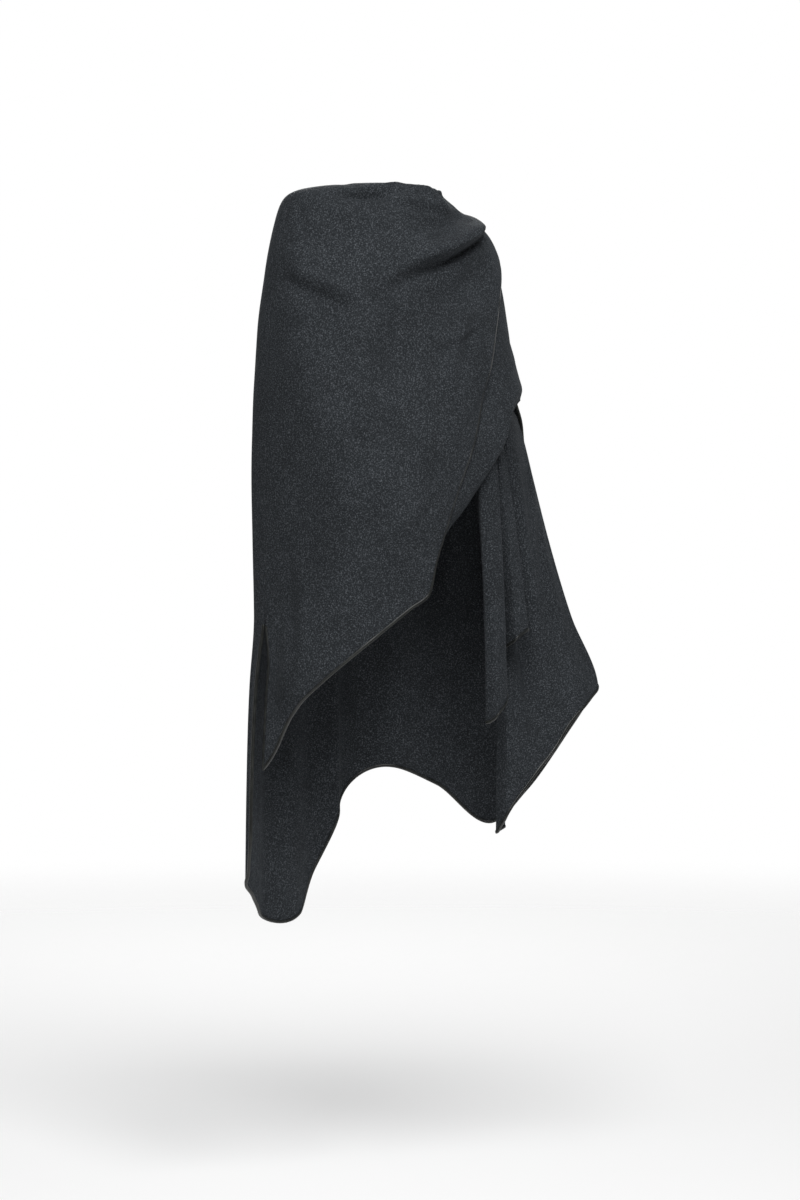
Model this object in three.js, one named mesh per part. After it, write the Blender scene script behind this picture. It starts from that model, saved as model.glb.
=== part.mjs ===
// A wool cape coat: one large bound sheet with a front slit, its right front thrown across and
// over the left shoulder. Sizes are in mm, +Z is up, the garment faces -Y and its right side is
// at -X. The origin is the middle of the neckline at the height of the shoulders.
import * as THREE from 'three';

// Driving sizes
const WOOL = 2.2; // thickness of the felted wool
const SEAM_GAP = 0.8; // between two pieces along a seam line
const LAYER = 7; // how far a layer lies outside the one beneath it
const BINDING_WIDTH = 4.2; // of the strip that stands past the cloth's edge
const BINDING_THICK = 3.6;
const BINDING_GAP = 0.3;
const BINDING_TRIM = 3; // kept free at the ends of each strip
const MM_PER_DEG = 2.7; // girth that one degree round the garment stands for
const NECK_DROP = 4; // where the back starts, below the top of the neck ring
const APEX_Z = -580; // top of the side opening on the right
const OPEN_DEG = 9; // how far the front's edge swings forward below it
const CORNER_RADIUS = 50; // rounds the back's corner at the right side line
const LEFT_FRONT_TOP = 56; // drop at which the left front starts, under the right front
const TURN_UNDER = 6; // how far the left front's lower edge is turned in
const TURN_DROP = 16; // over which it turns
const FALL_START = 30; // how far above that edge the hanging folds start
const SEATED_AT = 3; // the outer turn of their first fold, which touches the left front
const SEAT = 3.1; // between the middles of the two walls there
const FOLD_FLOOR = 2.5; // how far a trough may sink where a layer lies beneath
const DEEP_FLOOR = 13; // and where none does
const FALL_BOW = 5; // how far the hanging folds bow out halfway down
const SHEET_TOP_Z = -222; // where the sheet at the left side starts, hidden by the left front
const TUCK = 15; // how far it starts inside the left front
const SHEET_WAVE = 5; // of its soft waves
const TOP_TURN = 30; // how far the neck edge is turned in, measured as drop
const FRONT_SPREAD = 0.92; // sets the right front's columns closer at its left
const OPEN_DROP = 100; // over which the side opening widens to its full size
const BACK_OPEN = 3; // how far the back's edge stands out there
const BACK_OPEN_DEG = 1.5;
const THROWN_DEG = 176; // where the thrown end stops, round from the front
const FLARE = 9; // how far its front edge stands out below the left shoulder
const HUG = 3; // and how far it lies in further down
const LEFT_FRONT_DEG = 58; // inner edge of the left front at its top
const LEFT_FRONT_CROSS = -13; // and where it has crossed to, under the right front
const THROWN_BINDING_Z = -30; // and where the thrown end's binding starts
const BINDING_START = 25; // how far below the side opening's top its bindings start

const WOOL_COLOUR = 0x33373b;
const BINDING_COLOUR = 0x3c3f3d;

// Rings that the cloth lies on, from inside the neckline to the lowest corner.
// drop: way down from the neck edge. Heights and half-sizes hold at the four sides, and
// right_y and left_y move the two side lines forwards (-) or backwards (+).
const RINGS = [
  { name: 'turned in', drop: -34, front_z: 24, right_z: 24, left_z: 30, back_z: 38,
    right: 84, right_y: 0, left: 60, left_y: 0, front: 76, back: 64, back_bow: 1 },
  { name: 'neck edge', drop: 0, front_z: 48, right_z: 49, left_z: 55, back_z: 60,
    right: 94, right_y: 0, left: 68, left_y: 0, front: 86, back: 74, back_bow: 1 },
  { name: 'neck base', drop: 45, front_z: 12, right_z: 48, left_z: 28, back_z: 26,
    right: 140, right_y: 0, left: 106, left_y: 0, front: 102, back: 98, back_bow: 1 },
  { name: 'shoulder top', drop: 95, front_z: -34, right_z: 35, left_z: 13, back_z: -16,
    right: 190, right_y: 0, left: 143, left_y: -4, front: 120, back: 114, back_bow: 1 },
  { name: 'shoulder', drop: 145, front_z: -78, right_z: 0, left_z: -10, back_z: -66,
    right: 206, right_y: 0, left: 167, left_y: -8, front: 129, back: 124, back_bow: 1 },
  { name: 'upper side', drop: 210, front_z: -138, right_z: -70, left_z: -72, back_z: -128,
    right: 220, right_y: 3, left: 189, left_y: -13, front: 136, back: 130, back_bow: 1 },
  { name: 'middle of the side', drop: 290, front_z: -205, right_z: -160, left_z: -165, back_z: -200,
    right: 227, right_y: 12, left: 203, left_y: -20, front: 140, back: 134, back_bow: 1 },
  { name: 'lower side', drop: 350, front_z: -262, right_z: -242, left_z: -244, back_z: -262,
    right: 227, right_y: 18, left: 221, left_y: -26, front: 142, back: 135, back_bow: 1 },
  { name: 'above the waist', drop: 430, front_z: -335, right_z: -330, left_z: -330, back_z: -335,
    right: 223, right_y: 25, left: 252, left_y: -31, front: 143, back: 135, back_bow: 1 },
  { name: 'waist', drop: 580, front_z: -480, right_z: -480, left_z: -480, back_z: -480,
    right: 212, right_y: 41, left: 286, left_y: -50, front: 146, back: 132, back_bow: 1.06 },
  { name: 'hip', drop: 690, front_z: -590, right_z: -590, left_z: -590, back_z: -590,
    right: 204, right_y: 53, left: 312, left_y: -70, front: 146, back: 130, back_bow: 1.14 },
  { name: 'side point', drop: 800, front_z: -700, right_z: -700, left_z: -700, back_z: -700,
    right: 215, right_y: 54, left: 345, left_y: -96, front: 146, back: 130, back_bow: 1.2 },
  { name: 'low front', drop: 950, front_z: -850, right_z: -850, left_z: -850, back_z: -850,
    right: 228, right_y: 49, left: 350, left_y: -90, front: 148, back: 130, back_bow: 1.28 },
  { name: 'lowest', drop: 1180, front_z: -1080, right_z: -1080, left_z: -1080, back_z: -1080,
    right: 238, right_y: 42, left: 354, left_y: -84, front: 150, back: 132, back_bow: 1.32 },
];

// Lower edge of the right front, from its side line to the left shoulder
const RIGHT_FRONT_EDGE = [
  { deg: -90, z: -824 }, { deg: -80, z: -794 }, { deg: -64, z: -732 }, { deg: -37, z: -632 },
  { deg: -22, z: -584 }, { deg: -14, z: -563 }, { deg: -10, z: -506 }, { deg: -2, z: -417 },
  { deg: 6, z: -336 }, { deg: 16, z: -252 }, { deg: 25, z: -192 }, { deg: 38, z: -116 },
  { deg: 58, z: -60 }, { deg: 75, z: -34 }, { deg: 90, z: -22 },
];

// Lower edge of its thrown end, from the left side line to the back of the neckline
const THROWN_END_EDGE = [
  { deg: 90, z: -405 }, { deg: 95, z: -436 }, { deg: 104, z: -446 }, { deg: 116, z: -420 },
  { deg: 132, z: -318 }, { deg: 150, z: -180 }, { deg: 166, z: -60 }, { deg: 176, z: 20 },
];

// Where the left front turns under
const TURNED_EDGE = [
  { deg: -14, z: -508 }, { deg: -10, z: -500 }, { deg: -3, z: -470 }, { deg: 4, z: -440 },
  { deg: 11, z: -405 }, { deg: 19, z: -366 }, { deg: 27, z: -325 }, { deg: 35, z: -284 },
  { deg: 48, z: -264 }, { deg: 66, z: -256 }, { deg: 90, z: -250 },
];

// From where, at each drop, the right front has the left front beneath it
const COVERED_FROM = [
  { drop: 56, deg: 58 }, { drop: 130, deg: 50 }, { drop: 200, deg: 30 }, { drop: 250, deg: 16 },
  { drop: 300, deg: 2 }, { drop: 360, deg: -10 }, { drop: 430, deg: -13 },
];

// Hem of the back, from the right side edge round the back to the left side line
const BACK_HEM = [
  { deg: 90, z: -966 }, { deg: 104, z: -994 }, { deg: 112, z: -1007 }, { deg: 120, z: -1022 },
  { deg: 130, z: -1048 }, { deg: 144, z: -1064 }, { deg: 154, z: -1054 }, { deg: 166, z: -984 },
  { deg: 182, z: -886 }, { deg: 200, z: -832 }, { deg: 214, z: -862 }, { deg: 228, z: -925 },
  { deg: 238, z: -874 }, { deg: 254, z: -772 }, { deg: 270, z: -704 },
];

// Soft folds: each runs from one place through another to a third, round the garment in degrees
// and down in mm. depth lifts the ridge, or sinks a trough where it is below 0. lip sinks a
// trough under the ridge, start and end say how strong it is at its two ends, and crisp makes
// its lower side steeper than its upper one.
const RIGHT_FRONT_FOLDS = [
  { name: 'drape from the shoulder', from_deg: 70, from_drop: 100, via_deg: -10, via_drop: 46,
    to_deg: -42, to_drop: 236, width: 40, depth: 24, lip: 0.5, start: 0.4, end: 0, crisp: 0.4 },
  { name: 'hollow under the drape', from_deg: 46, from_drop: 140, via_deg: 2, via_drop: 150,
    to_deg: -20, to_drop: 240, width: 34, depth: -9, lip: 0, start: 0.3, end: 0, crisp: 0 },
  { name: 'hollow above the drape', from_deg: 54, from_drop: 50, via_deg: 14, via_drop: 58,
    to_deg: -28, to_drop: 104, width: 28, depth: -14, lip: 0, start: 0.2, end: 0, crisp: 0 },
  { name: 'right drape', from_deg: -84, from_drop: 206, via_deg: -60, via_drop: 236,
    to_deg: -34, to_drop: 222, width: 24, depth: 11, lip: 0.9, start: 0.5, end: 0, crisp: 0.2 },
  { name: 'below the neck', from_deg: -74, from_drop: 128, via_deg: -50, via_drop: 112,
    to_deg: -26, to_drop: 88, width: 17, depth: 3, lip: 0.8, start: 0, end: 0, crisp: 0 },
  { name: 'cowl', from_deg: -66, from_drop: 26, via_deg: -20, via_drop: 44,
    to_deg: 40, to_drop: 24, width: 13, depth: 4, lip: 1, start: 0.2, end: 0.3, crisp: 0 },
  { name: 'corner of the right side', from_deg: -70, from_drop: 270, via_deg: -20, via_drop: 480,
    to_deg: -62, to_drop: 790, width: 66, depth: 26, lip: 0, start: 0.2, end: 0.7, crisp: 0 },
  { name: 'middle of the chest', from_deg: -42, from_drop: 214, via_deg: -42, via_drop: 300,
    to_deg: -38, to_drop: 430, width: 22, depth: 8, lip: 0.2, start: 0.2, end: 0, crisp: 0 },
  { name: 'hollow of the chest', from_deg: -22, from_drop: 206, via_deg: -28, via_drop: 290,
    to_deg: -22, to_drop: 380, width: 26, depth: -11, lip: 0, start: 0.4, end: 0, crisp: 0 },
  { name: 'fullness', from_deg: 10, from_drop: 400, via_deg: -24, via_drop: 430,
    to_deg: -46, to_drop: 560, width: 60, depth: 9, lip: 0, start: 0.2, end: 0.2, crisp: 0 },
  { name: 'across the front', from_deg: 30, from_drop: 240, via_deg: -8, via_drop: 360,
    to_deg: -30, to_drop: 620, width: 46, depth: 6, lip: 0.6, start: 0.2, end: 0.6, crisp: 0 },
];
const THROWN_END_FOLDS = [
  { name: 'outer', from_deg: 100, from_drop: 90, via_deg: 106, via_drop: 250,
    to_deg: 112, to_drop: 560, width: 24, depth: 9, lip: 0.9, start: 0.5, end: 1 },
  { name: 'inner', from_deg: 112, from_drop: 70, via_deg: 128, via_drop: 210,
    to_deg: 138, to_drop: 420, width: 26, depth: 8, lip: 0.8, start: 0.6, end: 1 },
  { name: 'by the neck', from_deg: 112, from_drop: 40, via_deg: 144, via_drop: 100,
    to_deg: 158, to_drop: 240, width: 20, depth: 6, lip: 0.8, start: 0.5, end: 0.8 },
];
const LEFT_FRONT_FOLDS = [
  { name: 'along the bulge', from_deg: 70, from_drop: 330, via_deg: 40, via_drop: 350,
    to_deg: -8, to_drop: 560, width: 14, depth: 3, lip: 1, start: 0, end: 0.5 },
];
const BACK_FOLDS = [
  { name: 'right side', from_deg: 112, from_drop: 240, via_deg: 108, via_drop: 620,
    to_deg: 106, to_drop: 1190, width: 34, depth: 6, lip: 0.6, start: 0, end: 1 },
  { name: 'right blade', from_deg: 140, from_drop: 190, via_deg: 136, via_drop: 560,
    to_deg: 134, to_drop: 1190, width: 40, depth: 12, lip: 0.8, start: 0, end: 1 },
  { name: 'middle right', from_deg: 164, from_drop: 320, via_deg: 162, via_drop: 620,
    to_deg: 163, to_drop: 1190, width: 36, depth: 10, lip: 0.8, start: 0, end: 1 },
  { name: 'middle left', from_deg: 190, from_drop: 220, via_deg: 192, via_drop: 560,
    to_deg: 193, to_drop: 1190, width: 42, depth: 12, lip: 0.7, start: 0, end: 1 },
  { name: 'left', from_deg: 214, from_drop: 340, via_deg: 222, via_drop: 640,
    to_deg: 224, to_drop: 1190, width: 40, depth: 13, lip: 0.7, start: 0, end: 1 },
  { name: 'left side', from_deg: 240, from_drop: 520, via_deg: 246, via_drop: 680,
    to_deg: 248, to_drop: 1190, width: 28, depth: 8, lip: 0.8, start: 0, end: 1 },
];

// Every layer bulges out along this line, from the left side down to the front
const BULGE = { from_deg: 62, from_drop: 330, via_deg: 20, via_drop: 380, to_deg: -14,
  to_drop: 560, width: 52, depth: 14, lip: 0, start: 0.2, end: 0.5 };

// Hem of the sheet that hangs at the left side, from the side line to its hidden end
const SHEET_HEM = [
  { name: 'side line', at: 0, deg: 90, x: 345, y: -96, z: -700 },
  { name: 'round the side line', at: 0.08, deg: 86, x: 341, y: -110, z: -708 },
  { name: 'front', at: 0.28, deg: 80, x: 282, y: -127, z: -743 },
  { name: 'middle', at: 0.5, deg: 71, x: 213, y: -118, z: -825 },
  { name: 'turn', at: 0.72, deg: 58, x: 146, y: -100, z: -906 },
  { name: 'behind', at: 0.86, deg: 57, x: 145, y: -84, z: -929 },
  { name: 'hidden end', at: 1, deg: 62, x: 174, y: -71, z: -922 },
];

// The two rolled folds that hang from the turned edge, in order from the inside
const FALL = [
  { name: 'hidden start', at: 0, deg: 16, tuck: 40, x: 97, y: -128, z: -742 },
  { name: 'first fold, inner turn', at: 1, deg: 15, tuck: 27, x: 68, y: -144, z: -756 },
  { name: 'first fold, face', at: 2, deg: 19, tuck: 20, x: 72, y: -164, z: -743 },
  { name: 'first fold, outer turn', at: 3, deg: 25, tuck: 22, x: 95, y: -158, z: -723 },
  { name: 'turning back', at: 4, deg: 24, tuck: 38, x: 109, y: -133, z: -690 },
  { name: 'turning out again', at: 5, deg: 26, tuck: 44, x: 127, y: -113, z: -652 },
  { name: 'second fold, face', at: 6, deg: 31, tuck: 28, x: 132, y: -143, z: -629 },
  { name: 'second fold, outer turn', at: 7, deg: 36, tuck: 28, x: 159, y: -139, z: -616 },
  { name: 'hidden end', at: 8, deg: 33, tuck: 44, x: 163, y: -113, z: -628 },
];

const { clamp, lerp, smoothstep } = THREE.MathUtils;
const radians = THREE.MathUtils.degToRad;

// Slope of a table's column at a row: flat at a peak, so that the curve never overshoots it
function slopeAt(rows, key, column, row) {
  const last = rows.length - 1;
  const step = (i) => (rows[i + 1][column] - rows[i][column]) / (rows[i + 1][key] - rows[i][key]);
  if (row === 0) return step(0);
  if (row === last) return step(last - 1);
  const before = step(row - 1);
  const after = step(row);
  return before * after <= 0 ? 0 : (2 * before * after) / (before + after);
}

// Smooth value of a table's column at a place along its key column
function along(rows, key, column, at) {
  let i = 0;
  while (i < rows.length - 2 && at > rows[i + 1][key]) i += 1;
  const width = rows[i + 1][key] - rows[i][key];
  const t = clamp((at - rows[i][key]) / width, 0, 1);
  const start = rows[i][column];
  const end = rows[i + 1][column];
  const ease = t * t * (3 - 2 * t);
  const leave = slopeAt(rows, key, column, i) * width * t * (1 - t) * (1 - t);
  const arrive = slopeAt(rows, key, column, i + 1) * width * t * t * (1 - t);
  return start + (end - start) * ease + leave - arrive;
}

// Point of the rings: deg 0 is the front, 90 the left side line, -90 the right one
function ringPoint(deg, drop) {
  const across = Math.sin(radians(deg));
  const forth = Math.cos(radians(deg));
  const side = across < 0 ? 'right' : 'left';
  const face = forth > 0 ? 'front' : 'back';
  const size = (column) => along(RINGS, 'drop', column, drop);
  const bow = forth > 0 ? 1 : size('back_bow');
  const x = Math.sign(across) * size(side) * Math.abs(across) ** bow;
  const y = -Math.sign(forth) * size(face) * Math.abs(forth) ** bow;
  const share = across * across;
  return new THREE.Vector3(
    x,
    y + size(`${side}_y`) * share,
    lerp(size(`${face}_z`), size(`${side}_z`), share),
  );
}

// The drop at which the rings reach a height
function dropAt(deg, z) {
  const HALVINGS = 24;
  let high = 0;
  let low = RINGS[RINGS.length - 1].drop;
  for (let i = 0; i < HALVINGS; i += 1) {
    const middle = (high + low) / 2;
    if (ringPoint(deg, middle).z > z) high = middle;
    else low = middle;
  }
  return (high + low) / 2;
}

// The points that a fold runs through, on the cloth laid flat: mm round, mm down
function foldRoute(fold) {
  const STEPS = 10;
  return Array.from({ length: STEPS + 1 }, (_, i) => {
    const t = i / STEPS;
    const bend = (a, b, c) => a * (1 - t) ** 2 + 2 * b * t * (1 - t) + c * t ** 2;
    return [
      bend(fold.from_deg, fold.via_deg, fold.to_deg) * MM_PER_DEG,
      bend(fold.from_drop, fold.via_drop, fold.to_drop),
    ];
  });
}

// How far a soft fold lifts the cloth at a place
function foldLift(fold, deg, drop) {
  fold.route ??= foldRoute(fold);
  const { route } = fold;
  let best = { far: Infinity, t: 0, side: 0 };
  for (let i = 0; i < route.length - 1; i += 1) {
    const runX = route[i + 1][0] - route[i][0];
    const runY = route[i + 1][1] - route[i][1];
    const awayX = deg * MM_PER_DEG - route[i][0];
    const awayY = drop - route[i][1];
    const t = clamp((awayX * runX + awayY * runY) / (runX * runX + runY * runY), 0, 1);
    const far = Math.hypot(awayX - runX * t, awayY - runY * t);
    const side = Math.sign(awayY * runX - awayX * runY) * far;
    if (far < best.far) best = { far, side, t: (i + t) / (route.length - 1) };
  }
  const bump = (x) => Math.exp(-2 * x * x);
  const down = fold.from_deg > fold.to_deg ? -1 : 1;
  const side = (best.side * down) / fold.width;
  const across = side > 0 ? side / (1 - (fold.crisp ?? 0)) : side;
  const strength = lerp(fold.start, 1, smoothstep(best.t, 0, 0.35))
    * lerp(1, fold.end, smoothstep(best.t, 0.5, 1));
  return fold.depth * strength * (bump(across) - 0.7 * fold.lip * bump(across - 1.15));
}

function foldsLift(folds, deg, drop) {
  return folds.reduce((sum, fold) => sum + foldLift(fold, deg, drop), foldLift(BULGE, deg, drop));
}

// A point lifted off the rings along their outward direction
function skin(deg, drop, lift) {
  const here = ringPoint(deg, drop);
  const round = ringPoint(deg + 0.5, drop).sub(ringPoint(deg - 0.5, drop));
  const down = ringPoint(deg, drop + 2).sub(ringPoint(deg, drop - 2));
  return here.addScaledVector(down.cross(round).normalize(), lift);
}

// The grid of a panel: points of its middle surface and its outward directions
function panel(name, columns, rows, place) {
  const STEP = 0.004;
  const grid = [];
  for (let i = 0; i <= columns; i += 1) {
    for (let j = 0; j <= rows; j += 1) {
      const u = i / columns;
      const v = j / rows;
      const round = place(Math.min(u + STEP, 1), v).sub(place(Math.max(u - STEP, 0), v));
      const down = place(u, Math.min(v + STEP, 1)).sub(place(u, Math.max(v - STEP, 0)));
      grid.push({ point: place(u, v), out: down.cross(round).normalize() });
    }
  }
  const at = (i, j) => grid[i * (rows + 1) + j];
  return { name, columns, rows, grid, at, index: (i, j) => i * (rows + 1) + j };
}

// Node from corner points and faces, each face listed counter-clockwise seen from outside
function solid(name, colour, roughness, points, faces) {
  const geometry = new THREE.BufferGeometry();
  geometry.setAttribute('position', new THREE.Float32BufferAttribute(points.flatMap((p) => p.toArray()), 3));
  geometry.setIndex(faces);
  geometry.computeVertexNormals();
  const finish = new THREE.MeshStandardMaterial({ color: colour, roughness, metalness: 0 });
  const mesh = new THREE.Mesh(geometry, finish);
  mesh.name = name;
  return mesh;
}

// A wall of cloth on a panel's grid: outer face, inner face and the four edges between them
function wall(cloth) {
  const { columns, rows, grid, index } = cloth;
  const outer = grid.map(({ point, out }) => point.clone().addScaledVector(out, WOOL / 2));
  const inner = grid.map(({ point, out }) => point.clone().addScaledVector(out, -WOOL / 2));
  const below = grid.length;
  const faces = [];
  const quad = (a, b, c, d) => faces.push(a, b, c, a, c, d);
  for (let i = 0; i < columns; i += 1) {
    for (let j = 0; j < rows; j += 1) {
      const corners = [index(i, j), index(i, j + 1), index(i + 1, j + 1), index(i + 1, j)];
      quad(...corners);
      quad(...corners.map((corner) => corner + below).reverse());
    }
  }
  const rim = [];
  for (let i = 0; i < columns; i += 1) rim.push(index(i, 0));
  for (let j = 0; j < rows; j += 1) rim.push(index(columns, j));
  for (let i = columns; i > 0; i -= 1) rim.push(index(i, rows));
  for (let j = rows; j > 0; j -= 1) rim.push(index(0, j));
  rim.forEach((a, k) => {
    const b = rim[(k + 1) % rim.length];
    quad(a, b, b + below, a + below);
  });
  return solid(cloth.name, WOOL_COLOUR, 0.95, [...outer, ...inner], faces);
}

// A strip ends a little short of its neighbour
function trimEnd(end, next) {
  const run = next.point.clone().sub(end.point).normalize();
  end.point = end.point.clone().addScaledVector(run, BINDING_TRIM);
}

// A binding strip along grid places of a panel's rim, kept clear of the cloth's edge.
// One that hangs goes straight down and is as thin as the cloth.
function binding(name, cloth, places, hangs = false) {
  const spots = places.map(([i, j]) => ({ ...cloth.at(i, j), i, j }));
  trimEnd(spots[0], spots[1]);
  trimEnd(spots[spots.length - 1], spots[spots.length - 2]);
  const thick = hangs ? WOOL : BINDING_THICK;
  const points = [];
  spots.forEach((spot, k) => {
    const before = spots[Math.max(k - 1, 0)].point;
    const after = spots[Math.min(k + 1, spots.length - 1)].point;
    const run = after.clone().sub(before).normalize();
    const inward = cloth.at(
      clamp(spot.i, 1, cloth.columns - 1),
      clamp(spot.j, 1, cloth.rows - 1),
    ).point.clone().sub(spot.point);
    const past = hangs ? new THREE.Vector3(0, 0, -1) : run.cross(spot.out).normalize();
    if (!hangs && past.dot(inward) > 0) past.negate();
    const near = BINDING_GAP;
    const far = near + BINDING_WIDTH;
    [[near, 1], [far, 1], [far, -1], [near, -1]].forEach(([reach, side]) => points.push(spot.point.clone()
      .addScaledVector(past, reach)
      .addScaledVector(spot.out, (side * thick) / 2)));
  });
  const faces = [];
  const quad = (a, b, c, d) => faces.push(a, b, c, a, c, d);
  for (let k = 0; k < spots.length - 1; k += 1) {
    for (let side = 0; side < 4; side += 1) {
      const next = (side + 1) % 4;
      quad(4 * k + side, 4 * k + next, 4 * k + 4 + next, 4 * k + 4 + side);
    }
  }
  const end = 4 * (spots.length - 1);
  quad(3, 2, 1, 0);
  quad(end, end + 1, end + 2, end + 3);
  const turned = signedVolume(points, faces) < 0 ? faces.reverse() : faces;
  return solid(name, BINDING_COLOUR, 0.45, points, turned);
}

function signedVolume(points, faces) {
  let volume = 0;
  for (let f = 0; f < faces.length; f += 3) {
    const [a, b, c] = [points[faces[f]], points[faces[f + 1]], points[faces[f + 2]]];
    volume += a.dot(b.clone().cross(c)) / 6;
  }
  return volume;
}

// Grid places along a panel's bottom row and along one of its side columns
const bottomRow = (cloth, from = 0, to = cloth.columns) => Array.from(
  { length: Math.abs(to - from) + 1 },
  (_, k) => [from + k * Math.sign(to - from), cloth.rows],
);
const sideColumn = (cloth, column, from, to) => Array.from(
  { length: Math.abs(to - from) + 1 },
  (_, k) => [column, from + k * Math.sign(to - from)],
);

// Half the seam gap as an angle, at the girth of the side lines
const SEAM_DEG = THREE.MathUtils.radToDeg(SEAM_GAP / 2 / 200) * 1.4;

// How far the side opening on the right is spread at a place: 0 above it and away from its edge
function sideOpening(deg, drop, u, share) {
  const down = -ringPoint(deg, drop).z;
  return smoothstep(down, -APEX_Z, OPEN_DROP - APEX_Z) * (1 - smoothstep(u, 0, share));
}

// Right front: from the right side line across to the left shoulder, its top turned in.
// It starts level with the back and then lies a layer further out.
function rightFrontPlace(u, v) {
  const deg = lerp(-90 + SEAM_DEG, 90 - SEAM_DEG, u ** FRONT_SPREAD);
  const edge = dropAt(deg, along(RIGHT_FRONT_EDGE, 'deg', 'z', deg));
  const top = -TOP_TURN * smoothstep(deg, -88, -60);
  const drop = lerp(top, edge, v);
  const open = sideOpening(deg, drop, u, 0.12);
  const fromSeam = smoothstep(deg, -90, -62);
  const covered = along(COVERED_FROM, 'drop', 'deg', drop);
  const covers = smoothstep(deg - covered, -14, -4) * smoothstep(drop, 40, 56);
  const folds = Math.max(foldsLift(RIGHT_FRONT_FOLDS, deg, drop), -lerp(DEEP_FLOOR, FOLD_FLOOR, covers));
  return skin(deg + OPEN_DEG * open, drop, LAYER * fromSeam + folds * smoothstep(deg, -90, -74));
}

// Its thrown end: from the left shoulder down the left side and across the back
function thrownEndPlace(u, v) {
  const deg = lerp(90 + SEAM_DEG, THROWN_DEG, u);
  const edge = dropAt(deg, along(THROWN_END_EDGE, 'deg', 'z', deg));
  const top = lerp(-TOP_TURN, 2, smoothstep(deg, 96, 140));
  const drop = lerp(top, edge, v);
  const out = FLARE * smoothstep(drop, 150, 230) * (1 - smoothstep(drop, 385, 435));
  const hug = HUG * smoothstep(drop, 390, 435) * (1 - smoothstep(drop, 470, 530));
  const beside = (out - hug) * (1 - smoothstep(deg, 92, 118));
  const folds = Math.max(foldsLift(THROWN_END_FOLDS, deg, drop), -FOLD_FLOOR) * smoothstep(deg, 90, 99);
  return skin(deg, drop, LAYER + beside + folds + backLift(360 - deg, drop));
}

// Left front at the left side: its inner edge crosses under the right front
function leftFrontPlace(u, v) {
  const inner = lerp(LEFT_FRONT_DEG, LEFT_FRONT_CROSS, smoothstep(v, 0, 0.85));
  const deg = lerp(inner, 90 - SEAM_DEG, u);
  const edge = dropAt(deg, along(TURNED_EDGE, 'deg', 'z', deg));
  const drop = lerp(LEFT_FRONT_TOP, edge, v);
  return skin(deg, drop, leftLift(deg, drop, edge));
}

// How the left front lies: under the right front, over the bulge, its lower edge turned in
function leftLift(deg, drop, edge) {
  const turned = TURN_UNDER * smoothstep(drop, edge - TURN_DROP, edge) ** 2;
  const beneath = 2 * (1 - smoothstep(deg, 70, 90));
  return foldsLift(LEFT_FRONT_FOLDS, deg, drop) - turned - beneath;
}

// Back: from the right side line round the back to the left side line, 90 to 270 degrees
// counted the other way round, so that its columns run on from the right
function backPlace(u, v) {
  const round = lerp(90 + SEAM_DEG, 270 - SEAM_DEG, u);
  const corner = (round - 90) * MM_PER_DEG;
  const rise = corner < CORNER_RADIUS
    ? CORNER_RADIUS - Math.sqrt(CORNER_RADIUS ** 2 - (CORNER_RADIUS - corner) ** 2) : 0;
  const deg = -round;
  const hem = along(BACK_HEM, 'deg', 'z', round) + rise;
  const drop = lerp(NECK_DROP, dropAt(deg, hem), v);
  const open = sideOpening(deg, drop, u, 0.1);
  return skin(deg - BACK_OPEN_DEG * open, drop, BACK_OPEN * open + backLift(round, drop));
}

// Folds of the back, which fade out towards the two side lines
function backLift(round, drop) {
  const clear = smoothstep(round, 90, 106) * (1 - smoothstep(round, 252, 270));
  return clear * BACK_FOLDS.reduce((sum, fold) => sum + foldLift(fold, round, drop), 0);
}

// Sheet at the left side: hangs from inside the left front, flares to the left side line
// and turns back behind itself at its inner end
function sheetPlace(u, v) {
  const stop = (column) => along(SHEET_HEM, 'at', column, u);
  const deg = Math.min(stop('deg'), 90 - SEAM_DEG);
  const top = skin(deg, dropAt(deg, SHEET_TOP_Z), -TUCK);
  const hem = new THREE.Vector3(stop('x'), stop('y') - SEAM_GAP / 2, stop('z'));
  const place = top.clone().lerp(hem, v);
  const lineZ = lerp(SHEET_TOP_Z, SHEET_HEM[0].z, v);
  const line = skin(90 - SEAM_DEG, dropAt(90, lineZ), -TUCK * (1 - smoothstep(v, 0.055, 0.13)));
  const chord = skin(90 - SEAM_DEG, dropAt(90, SHEET_TOP_Z), -TUCK)
    .lerp(skin(90 - SEAM_DEG, dropAt(90, SHEET_HEM[0].z), 0), v);
  const near = (1 - smoothstep(u, 0, 0.8)) ** 1.5;
  const wave = SHEET_WAVE * Math.sin(Math.PI * v) * Math.sin(u * 9);
  place.addScaledVector(line.sub(chord), near);
  place.y += wave * smoothstep(u, 0, 0.2) - SEAM_GAP;
  return place;
}

// The two rolled folds that hang from inside the left front's turned edge
function fallPlace(u, v) {
  const at = u * (FALL.length - 1);
  const stop = (column) => along(FALL, 'at', column, at);
  const deg = stop('deg');
  const edge = dropAt(deg, along(TURNED_EDGE, 'deg', 'z', deg));
  const start = edge - FALL_START;
  const seated = Math.exp(-2 * (at - SEATED_AT) ** 2) * (1 - smoothstep(v, 0, 0.1));
  const tuck = lerp(stop('tuck'), SEAT, seated);
  const top = skin(deg, start, leftLift(deg, start, edge) - tuck);
  const hem = new THREE.Vector3(stop('x'), stop('y'), stop('z'));
  const place = top.lerp(hem, v);
  place.y -= FALL_BOW * Math.sin(Math.PI * v);
  return place;
}

const rightFront = panel('right_front', 40, 20, rightFrontPlace);
const thrownEnd = panel('right_front_end', 18, 14, thrownEndPlace);
const leftFront = panel('left_front', 16, 13, leftFrontPlace);
const back = panel('back', 34, 18, backPlace);
const sheet = panel('left_front_sheet', 15, 12, sheetPlace);
const fall = panel('left_front_fall', 40, 7, fallPlace);

// The row of a panel's side column from which its side edge hangs free
function rowBelow(cloth, column, z) {
  let row = 0;
  while (row < cloth.rows && cloth.at(column, row).point.z > z) row += 1;
  return row;
}

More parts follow.
